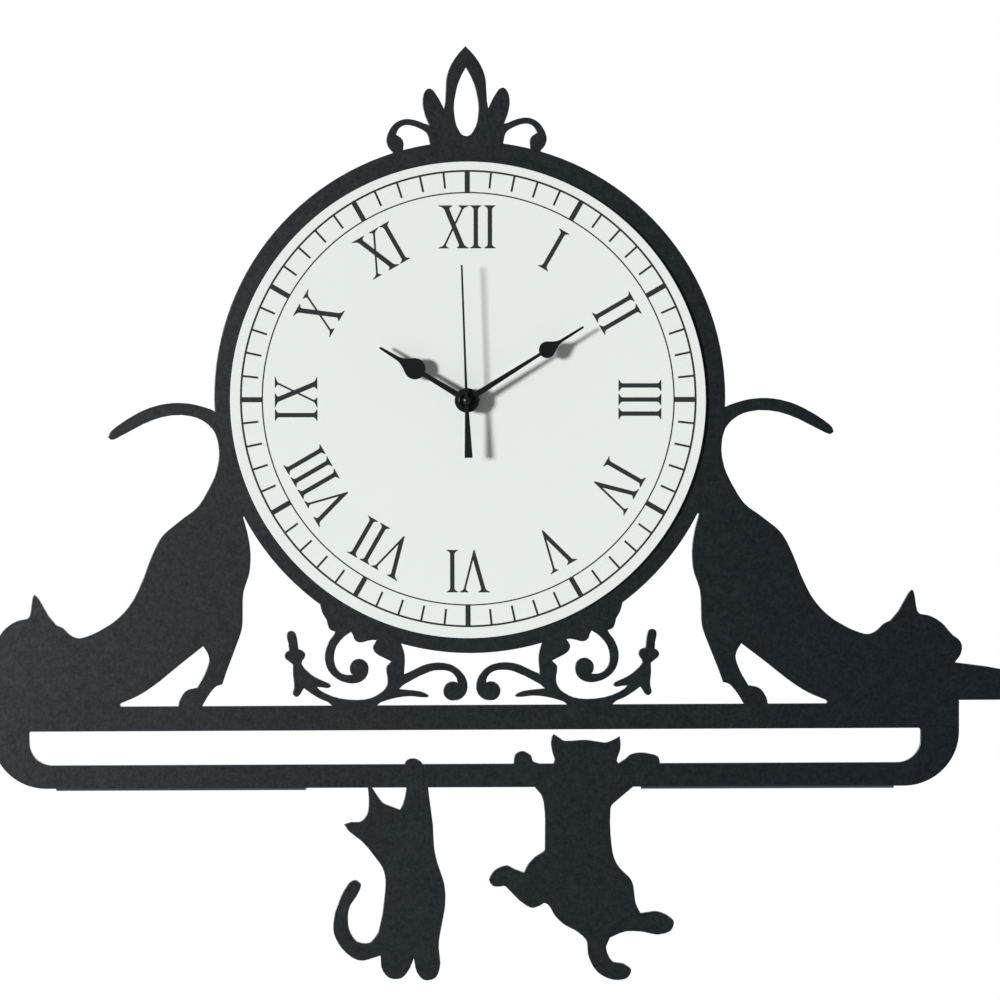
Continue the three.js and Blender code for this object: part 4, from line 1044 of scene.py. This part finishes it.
@dataclass
class CentreFixing:
    """What clamps the movement to the dial: rubber washer, threaded bush, flat washer and nut."""

    rubber_edge: float = 0.4
    rubber_bore: float = 5.8
    rubber_sides: int = 64
    washer_edge: float = 0.12
    thread_radius: float = 4.0
    thread_pitch: float = 0.75
    thread_depth: float = 0.32
    thread_start: float = 0.2
    thread_lead: float = 0.25
    thread_fade: float = 0.4
    thread_samples: int = 8
    sides: int = 48
    nut_bore: float = 4.3
    bush_bore: float = 2.8
    flange_depth: float = 1.2
    chamfer_depth: float = 0.5
    chamfer_share: float = 0.97
    chamfer_slope: float = 1.75
    chamfer_rows: int = 5

    def build(self) -> Iterator[Piece]:
        """Makes the pieces.

        Yields:
            The rubber washer, the bush, the flat washer and the nut.
        """
        yield settle(self.rubber_washer(), "frame", RUBBER, "rubber_washer")
        yield settle(self.bush(), "frame", BRASS, "threaded_bush")
        yield soften("flat_washer", "frame", HAND_BLACK, self.washer_edge)
        yield settle(self.nut(), "frame", HAND_BLACK, "hex_nut")

    def rubber_washer(self) -> Piece:
        """Makes a flat ring with rounded rims: a rounded rectangle carried round the axis.

        Returns:
            The washer.
        """
        box = Extent.of("rubber_washer")
        inner, outer, depth, edge = self.rubber_bore, box.size[0] / 2, box.size[1], self.rubber_edge
        section = rounded([(inner, -depth, edge), (outer, -depth, edge), (outer, 0, edge), (inner, 0, edge)])
        ring = turning(section, self.rubber_sides, hollow=True)
        return make_piece("rubber_washer_ring", [ring], axis_seat(box))

    def bush(self) -> Piece:
        """Makes a tube with a foot and a screw thread.

        The thread's radius falls by the depth times a triangle wave of level over pitch less the share of a
        turn, so each groove climbs one pitch in a turn. The depth dies away at both ends.

        Returns:
            The bush.
        """
        box = Extent.of("threaded_bush")
        length, foot, radius = box.size[1], box.size[0] / 2, self.thread_radius
        start = -length + self.flange_depth
        first, last = start + self.thread_start, -self.thread_lead
        level = np.linspace(first, last, int(-start / self.thread_pitch * self.thread_samples))
        angle = even_angles(self.sides)
        phase = (level[:, None] / self.thread_pitch - angle / FULL_TURN) % 1.0
        fade = np.clip(np.minimum(level - first, last - level) / self.thread_fade, 0, 1)[:, None]
        groove = radius - self.thread_depth * fade * np.abs(2 * phase - 1)
        before = np.array([[self.bush_bore, -length], [foot, -length], [foot, start], [radius, start]])
        after = np.array([[radius - self.thread_lead, 0], [self.bush_bore, 0]])
        plain = np.ones_like(angle)
        radii = np.vstack([before[:, :1] * plain, groove, after[:, :1] * plain])
        levels = np.concatenate([before[:, 1], level, after[:, 1]])[:, None]
        return make_piece("bush_thread", [loft(polar(radii, angle, levels), endless=True)], axis_seat(box))

    def nut(self) -> Piece:
        """Makes a hexagon nut: its radius is the lesser of the hexagon's and the chamfer cone's.

        Returns:
            The nut.
        """
        box = Extent.of("hex_nut")
        flat, depth, chamfer = box.size[2] / 2, box.size[1], self.chamfer_depth
        angle = even_angles(self.sides)
        hexagon = flat / np.cos((angle % (FULL_TURN / 6)) - FULL_TURN / 12)
        level = np.concatenate([np.linspace(-depth, -depth + chamfer, self.chamfer_rows),
                                np.linspace(-chamfer, 0, self.chamfer_rows)])
        cone = flat * self.chamfer_share + np.minimum(level + depth, -level) * self.chamfer_slope
        bore = np.full((1, self.sides), self.nut_bore)
        radii = np.vstack([bore, np.minimum(hexagon, cone[:, None]), bore])
        levels = np.concatenate([[-depth], level, [0]])[:, None]
        return make_piece("chamfered_nut", [loft(polar(radii, angle, levels), endless=True)], axis_seat(box))


@dataclass
class HandSet:
    """The hour, minute and second hands and the open nut that holds them."""

    edge: float = 0.12
    nut_bore: float = 1.76
    nut_round: float = 0.35
    nut_sides: int = 64
    step_outer: float = 0.72
    step_inner: float = 0.66
    step_depth: float = 0.25
    step_round: float = 0.1
    bore_round: float = 0.05
    second_turn: float = -1.5
    second_length: float = 66.8
    second_tail: float = 28.4
    tail_root: float = 6.0
    tail_width: float = 4.0
    root_width: float = 1.5
    stem_width: float = 1.1
    stem_share: float = 0.25
    tip_width: float = 0.9
    blade_depth: float = 0.5
    blade_round: float = 0.12
    boss_radius: float = 2.0
    boss_bore: float = 0.56
    boss_cap: float = 0.5
    boss_rings: int = 10
    boss_sides: int = 40
    dome: float = 0.85

    def build(self) -> Iterator[Piece]:
        """Makes the pieces.

        Yields:
            The hour hand, the minute hand, the nut and the second hand.
        """
        yield soften("hour_hand", "hour", HAND_BLACK, self.edge)
        yield soften("minute_hand", "minute", HAND_BLACK, self.edge)
        yield settle(self.open_nut(), "minute", NUT_BLACK, "minute_nut")
        yield settle(self.second_hand(), "second", SECOND_BLACK, "second_hand")

    def open_nut(self) -> Piece:
        """Makes a turned nut: its section has a rounded shoulder and a shallow step inside it.

        Returns:
            The nut.
        """
        box = Extent.of("minute_nut")
        outer, depth, step = box.size[0] / 2, box.size[1], self.step_depth
        section = rounded([(self.nut_bore, -depth, 0), (outer, -depth, 0), (outer, 0, self.nut_round),
                           (outer * self.step_outer, 0, self.step_round),
                           (outer * self.step_inner, -step, self.step_round),
                           (self.nut_bore, -step, self.bore_round)])
        return make_piece("open_nut", [turning(section, self.nut_sides, hollow=True)], axis_seat(box))

    def second_hand(self) -> Piece:
        """Makes a tapered blade through a domed boss.

        The blade's width runs straight from the tail to the root and on to the tip. The boss is turned, and
        its dome falls with the radius squared.

        Returns:
            The hand.
        """
        box = Extent.of("second_hand")
        tip = self.second_length
        length = np.array([-self.second_tail, -self.tail_root, 0, tip * self.stem_share, tip])
        root = self.root_width + (self.tail_width - self.root_width) * self.tail_root / self.second_tail
        width = np.array([self.tail_width, root, self.root_width, self.stem_width, self.tip_width])
        radius = np.linspace(self.boss_radius, 0, self.boss_rings)
        depth, bore = box.size[1], self.boss_bore
        cap = np.column_stack([radius, -self.dome * (radius / self.boss_radius) ** 2])
        base = [[0, -self.boss_cap], [bore, -self.boss_cap], [bore, -depth], [self.boss_radius, -depth]]
        boss = turning(np.vstack([base, cap]), self.boss_sides)
        blade = self.blade(length, width / 2).moved(0, 0, -(depth + self.blade_depth) / 2)
        return make_piece("second_hand_domed", [blade, boss], axis_seat(box, self.second_turn))

    def blade(self, length: Array, half: Array) -> Shell:
        """Carries a flat section with rounded edges along the blade.

        Args:
            length: the stations along it.
            half: the half width at each station.

        Returns:
            The blade.
        """
        inset = self.blade_round
        edge = [(0, inset), (inset, 0), (self.blade_depth - inset, 0), (self.blade_depth, inset)]
        section = [(-1, *corner) for corner in edge] + [(1, *corner) for corner in reversed(edge)]
        return loft(np.stack([points_of(side * (half - narrow), length, level)
                              for side, level, narrow in section], 1))


@dataclass
class Movement:
    """The quartz movement: case, cover and its moulded signs, screws, knob, coil and wheels.

    The arrow's angles are in degrees, apart from its notch. That and the screws' turn are in radians.
    """

    case_edge: float = 0.25
    knob_edge: float = 0.2
    sign_height: float = 0.25
    sign_root: float = 0.1
    sign_width: float = 0.7
    sign_reach: float = 1.9
    sign_side: float = 15.0
    sign_rise: float = 4.6
    cross_lift: float = 0.01
    arrow_radius: float = 8.2
    arrow_from: float = 20.0
    arrow_to: float = 125.0
    arrow_head: float = 22.0
    arrow_flare: float = 1.6
    arrow_tip: float = 0.06
    arrow_notch: float = 0.001
    arrow_stations: int = 24
    screw_count: int = 4
    screw_radius: float = 1.8
    screw_head: float = 1.2
    screw_dome: float = 0.55
    screw_shank: float = 0.8
    screw_point: float = 0.8
    screw_turn: float = 0.5
    screw_sides: int = 72
    screw_rings: int = 22
    recess_reach: float = 1.15
    recess_half: float = 0.24
    recess_depth: float = 0.7
    recess_taper: float = 0.5
    recess_step: float = 0.1
    wire_pitch: float = 0.32
    wire_round: float = 0.4
    wire_samples: int = 6
    coil_wall: float = 1.2
    coil_gap: float = 0.05
    corner_steps: int = 5

    def build(self) -> Iterator[Piece]:
        """Makes the parts that show at the back and dresses the wheels inside.

        Yields:
            The case, the cover, the knob, the signs, the screws and the coil.
        """
        yield soften("movement_case", "frame", BLACK_MOULDING, self.case_edge)
        yield soften("back_cover", "frame", BLACK_MOULDING, self.case_edge)
        yield soften("setting_knob", "knob", BLACK_MOULDING, self.knob_edge)
        yield settle(self.cover_signs(), "frame", BLACK_MOULDING)
        for number in range(1, self.screw_count + 1):
            node = f"cover_screw_{number}"
            yield settle(self.screw(node, number), "frame", ZINC, node)
        yield settle(self.coil(), "frame", COPPER, "coil")
        self.dress_inside()

    @staticmethod
    def dress_inside() -> None:
        """Gives the wheels, motor and board their finishes."""
        finishes = {
            BRASS: ("second_wheel", "centre_wheel"),
            WHITE_MOULDING: ("step_wheel", "third_wheel", "minute_wheel", "hour_wheel"),
            MAGNET: ("rotor",),
            ZINC: ("stator", "quartz_crystal", "negative_contact", "positive_contact"),
            BOARD: ("circuit_board",),
        }
        for finish, nodes in finishes.items():
            for node in nodes:
                finish.dress(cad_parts[node])

    def curved_arrow(self) -> Shell:
        """Shapes an arrow round the knob: a flat section carried along an arc, wider at its head.

        Returns:
            The arrow.
        """
        turn, head = np.radians([self.arrow_to - self.arrow_from, self.arrow_head])
        stem = np.linspace(0, turn - head, self.arrow_stations)
        angle = np.radians(self.arrow_from) + np.append(stem, [turn - head + self.arrow_notch, turn])
        half = np.append(np.full_like(stem, self.sign_width / 2),
                         [self.sign_width * self.arrow_flare, self.arrow_tip])
        inner, outer = self.arrow_radius - half, self.arrow_radius + half
        return curved_band(angle, inner, outer, -self.sign_root, self.sign_height)

    def cover_signs(self) -> Piece:
        """Makes a turning arrow by the knob, and the plus and minus of the cell above the bay, all raised.

        Returns:
            The signs.
        """
        cover, knob = Extent.of("back_cover"), Extent.of("setting_knob").centre
        half = np.full(2, self.sign_width / 2)
        reach = np.array([-self.sign_reach, self.sign_reach])
        bar = straight_band(reach, -half, half, -self.sign_root, self.sign_height)
        across = bar.turned(QUARTER_TURN)
        rise = cover.low[2] + self.sign_rise
        plus, minus = -cover.centre[0] - self.sign_side, -cover.centre[0] + self.sign_side
        shells = [self.curved_arrow().moved(-knob[0], knob[2]), bar.moved(plus, rise),
                  across.moved(plus, rise, self.cross_lift), across.moved(minus, rise)]
        return make_piece("cover_signs", shells, back_seat(0, cover.high[1], 0))

    def screw(self, node: str, number: int) -> Piece:
        """Makes a pan-head screw with a cross recess.

        Over a polar grid the head's height falls with the fourth power of the radius, less the recess: full
        depth where the point lies inside either arm of the cross, tapering over a short step.

        Args:
            node: the screw's CAD node.
            number: its number, which sets how far it is turned.

        Returns:
            The screw.
        """
        box = Extent.of(node)
        radius = np.linspace(0, self.screw_radius, self.screw_rings)[:, None]
        angle = even_angles(self.screw_sides)
        x, y = radius * np.cos(angle), radius * np.sin(angle)

        def inside(size: Array, limit: float) -> Array:
            """One well inside a limit, zero outside it, and straight between."""
            return np.clip((limit - np.abs(size)) / self.recess_step + 0.5, 0, 1)

        arms = np.maximum(inside(x, self.recess_reach) * inside(y, self.recess_half),
                          inside(y, self.recess_reach) * inside(x, self.recess_half))
        depth = self.recess_depth * (1 - self.recess_taper * radius / self.recess_reach)
        level = -self.screw_dome * (radius / self.screw_radius) ** 4 - arms * depth
        length, shank = box.size[1], self.screw_shank
        tail = np.array([[self.screw_radius, -self.screw_head], [shank, -self.screw_head],
                         [shank, -length + self.screw_point], [0, -length]])
        rows = np.concatenate([points_of(x, y, level), polar(tail[:, :1], angle, tail[:, 1:])])
        shell = loft(rows, capped=False).turned(self.screw_turn * number)
        seat = back_seat(box.centre[0], box.high[1], box.centre[2])
        return make_piece(f"cross_screw_{number}", [shell], seat)

    def coil(self) -> Piece:
        """Makes the wire wound on the stator's bar.

        The winding's section, a row of round wire backs outside and a straight line inside, is carried
        round a rectangle whose corners are arcs of the section's own offset.

        Returns:
            The winding.
        """
        box = Extent.of("coil")
        length, bulge = box.size[0], self.wire_pitch * self.wire_round
        turns = int(length / self.wire_pitch)
        along = np.linspace(0, 1, turns * self.wire_samples + 1)
        backs = self.coil_wall - bulge + np.abs(np.sin(along * turns * math.pi)) * bulge
        inner = [[self.coil_gap, length], [self.coil_gap, 0]]
        section = np.vstack([np.column_stack([backs, along * length]), inner])
        quarter = np.linspace(0, QUARTER_TURN, self.corner_steps)
        angle = np.concatenate([quarter + index * QUARTER_TURN for index in range(4)])
        corner = np.array([[1, 1], [-1, 1], [-1, -1], [1, -1]]) * (box.size[1:] / 2 - self.coil_wall)
        x, y = corner.repeat(self.corner_steps, 0).T
        offset = section[:, :1]
        rings = points_of(x + offset * np.cos(angle), y + offset * np.sin(angle), section[:, 1:])
        return make_piece("coil_winding", [loft(rings, endless=True)], side_seat(box))


@dataclass
class DryCell:
    """The cell in the bay: a steel can with a raised end, inside a shrunk sleeve."""

    nub_length: float = 1.3
    nub_radius: float = 2.75
    nub_flare: float = 0.4
    nub_round: float = 0.2
    sleeve: float = 0.25
    shoulder: float = 0.9
    groove: float = 0.3
    groove_shares: tuple[float, ...] = (0.55, 0.6, 0.7, 0.75)
    groove_round: float = 0.15
    flat_inset: float = 0.2
    end_inset: float = 0.6
    end_drop: float = 0.3
    end_round: float = 0.3
    soft_round: float = 0.4
    flat_gap: float = 0.02
    end_gap: float = 0.05
    lip_round: float = 0.05
    flat_fold: float = 0.5
    end_fold: float = 0.6
    fold_drop: float = 0.1
    sides: int = 64

    def build(self) -> Iterator[Piece]:
        """Makes the pieces.

        Yields:
            The can and its sleeve.
        """
        yield settle(self.can(), "frame", ZINC, "battery")
        yield settle(self.jacket(), "frame", SLEEVE, "battery")

    def sizes(self) -> tuple[float, float]:
        """The cell's radius and its length without the raised end."""
        return cell_box.size[1] / 2, cell_box.size[0] - self.nub_length

    def can(self) -> Piece:
        """Makes a turned can: a ring groove in the flat end, rounded shoulders and a raised end.

        Returns:
            The can.
        """
        radius, length = self.sizes()
        wall, nub, soft = radius - self.sleeve, self.nub_radius, self.soft_round
        full, end = length + self.nub_length, length - self.end_drop
        levels = (0, self.groove, self.groove, 0)
        groove = [(wall * share, level, self.groove_round)
                  for share, level in zip(self.groove_shares, levels)]
        section = rounded([
            (0, 0, 0), *groove, (wall - self.flat_inset, 0, soft), (wall, self.shoulder, soft),
            (wall, length - self.shoulder, soft), (wall - self.end_inset, end, self.end_round),
            (nub + self.nub_flare, end, self.end_round), (nub, length, self.nub_round), (nub, full, soft),
            (0, full, 0)])
        return make_piece("cell_can", [turning(section, self.sides)], side_seat(cell_box))

    def jacket(self) -> Piece:
        """Makes a turned tube: its thin section folds over both shoulders of the can.

        Returns:
            The sleeve.
        """
        radius, length = self.sizes()
        lip, bore, fold = radius - self.shoulder, radius - self.sleeve, self.lip_round
        low, high, end = self.flat_gap, length - self.end_gap, length - self.sleeve
        section = rounded([
            (lip, low, fold), (radius, low, self.flat_fold), (radius, high, self.end_fold),
            (lip, high, fold), (lip, end, fold), (bore, end - self.fold_drop, self.soft_round),
            (bore, self.sleeve, self.end_round), (lip, self.sleeve, fold)])
        return make_piece("cell_jacket", [turning(section, self.sides, hollow=True)], side_seat(cell_box))


@dataclass
class Studio:
    """Camera, lamps, white surroundings and a pale floor far below the clock.

    Lengths are in metres, but for the sensor and the floor's grain, in millimetres. Angles are in degrees.
    """

    camera_place: Triple = (0.06414, -1.42669, -0.0568)
    yaw: float = -2.007
    pitch: float = -3.187
    roll: float = -0.53
    focal_share: float = 2.8083
    sensor: float = 36.0
    key_aim: tuple[float, float] = (42.0, 3.9)
    key_strength: float = 3.4
    key_angle: float = 11.0
    back_aim: tuple[float, float] = (215.0, 35.0)
    back_strength: float = 2.2
    back_angle: float = 20.0
    left_glow: float = 0.13
    right_glow: float = 0.005
    side_glow: float = 0.25
    left_to_right: tuple[float, float] = (-0.3, 0.1)
    front_to_side: tuple[float, float] = (-0.95, -0.35)
    side_to_back: tuple[float, float] = (-0.05, 0.3)
    floor_level: float = -1.4
    floor_radius: float = 2.4
    floor_rings: tuple[float, ...] = (0, 0.5, 0.8, 1.0)
    floor_sides: int = 96
    floor_fade: tuple[float, float] = (0.55, 0.98)
    floor_grain: float = 60.0
    floor_dark: Triple = (0.84, 0.84, 0.83)
    floor_pale: Triple = (0.88, 0.88, 0.87)

    def build(self) -> None:
        """Sets up the picture."""
        scene = bpy.context.scene
        scene.view_settings.view_transform = "Standard"
        scene.camera = self.camera()
        self.lamp("key_lamp", self.key_strength, self.key_angle, self.key_aim)
        self.lamp("back_lamp", self.back_strength, self.back_angle, self.back_aim)
        scene.world = self.surroundings()
        self.floor()

    def camera(self) -> Piece:
        """Makes the photograph's camera from its place, its yaw, pitch and roll, and its focal length.

        Returns:
            The camera.
        """
        yaw, pitch, roll = (math.radians(angle) for angle in (self.yaw, self.pitch, self.roll))
        forward = Vector((math.sin(yaw) * math.cos(pitch), math.cos(yaw) * math.cos(pitch), math.sin(pitch)))
        level = Vector((math.cos(yaw), -math.sin(yaw), 0))
        upright = level.cross(forward)
        right = level * math.cos(roll) + upright * math.sin(roll)
        up = upright * math.cos(roll) - level * math.sin(roll)
        data = bpy.data.cameras.new("front_camera")
        data.sensor_width = self.sensor
        data.lens = self.focal_share * self.sensor
        made = bpy.data.objects.new("front_camera", data)
        bpy.context.scene.collection.objects.link(made)
        facing = Matrix((right, up, -forward)).transposed().to_4x4()
        made.matrix_world = Matrix.Translation(self.camera_place) @ facing
        return made

    @staticmethod
    def lamp(name: str, strength: float, angle: float, aim: tuple[float, float]) -> None:
        """Puts up a broad far lamp.

        Args:
            name: its name.
            strength: its strength.
            angle: how wide it looks, in degrees.
            aim: its angle left of the front and its angle above the horizon.
        """
        side, rise = (math.radians(part) for part in aim)
        travel = Vector((math.sin(side) * math.cos(rise), math.cos(side) * math.cos(rise), -math.sin(rise)))
        data = bpy.data.lights.new(name, "SUN")
        data.energy = strength
        data.angle = math.radians(angle)
        made = bpy.data.objects.new(name, data)
        made.rotation_mode = "QUATERNION"
        made.rotation_quaternion = travel.to_track_quat("-Z", "Y")
        bpy.context.scene.collection.objects.link(made)

    def surroundings(self) -> bpy.types.World:
        """Makes a world that is white to the camera and, from behind the clock, to metal.

        Elsewhere it has pale sides and a dim front, which is least dim on the left, towards the key lamp.

        Returns:
            The world.
        """
        world = bpy.data.worlds.new("white_surroundings")
        world.use_nodes = True
        graph = Graph(world.node_tree)
        heading = graph.node("ShaderNodeTexCoord", output="Generated")
        across, depth = (graph.node("ShaderNodeSeparateXYZ", None, {0: heading}, axis) for axis in (0, 1))
        camera, glossy, clear = (graph.node("ShaderNodeLightPath", output=name)
                                 for name in ("Is Camera Ray", "Is Glossy Ray", "Is Transmission Ray"))
        mirrored = (glossy + clear) * graph.ramp(depth, *self.side_to_back)
        left, right, side, white = (
            graph.node("ShaderNodeBackground", None, {"Color": (1, 1, 1), "Strength": strength})
            for strength in (self.left_glow, self.right_glow, self.side_glow, 1.0))
        front = graph.mix(graph.ramp(across, *self.left_to_right), left, right)
        fill = graph.mix(graph.ramp(depth, *self.front_to_side), front, side)
        graph.surface(graph.mix(camera + mirrored, fill, white), "ShaderNodeOutputWorld")
        return world

    def floor(self) -> Piece:
        """Makes a pale disc below the clock, of rings of growing radius, that fades out towards its rim.

        Returns:
            The floor.
        """
        radius = np.array(self.floor_rings) * self.floor_radius / MM
        level = self.floor_level / MM
        disc = turning(np.column_stack([radius, 0 * radius]), self.floor_sides)
        piece = make_piece("pale_floor", [disc], level_seat(level))
        material = bpy.data.materials.new("pale_floor")
        material.use_nodes = True
        graph = Graph(material.node_tree)
        reach = graph.node("ShaderNodeVectorMath", {"operation": "LENGTH"}, {
            0: graph.spot((0, 0, level))}, "Value")
        solid = graph.node("ShaderNodeBsdfDiffuse", None, {
            "Color": graph.blend(graph.grain(self.floor_grain), self.floor_dark, self.floor_pale)})
        clear = graph.node("ShaderNodeBsdfTransparent")
        fade = graph.ramp(reach, *(share * self.floor_radius for share in self.floor_fade))
        graph.surface(graph.mix(fade, solid, clear))
        piece.data.materials.append(material)
        return piece


def main() -> None:
    """Builds the sub-assemblies in order, then the studio, and notes the sizes."""
    logging.basicConfig(level=logging.INFO, format="%(name)s: %(message)s")
    for assembly in (SheetFrame(), PrintedDial(), CentreFixing(), HandSet(), Movement(), DryCell()):
        for piece in assembly.build():
            log.info("%s made %s, %d faces", type(assembly).__name__, piece.name, len(piece.data.polygons))
    Studio().build()


if __name__ == "__main__":
    main()
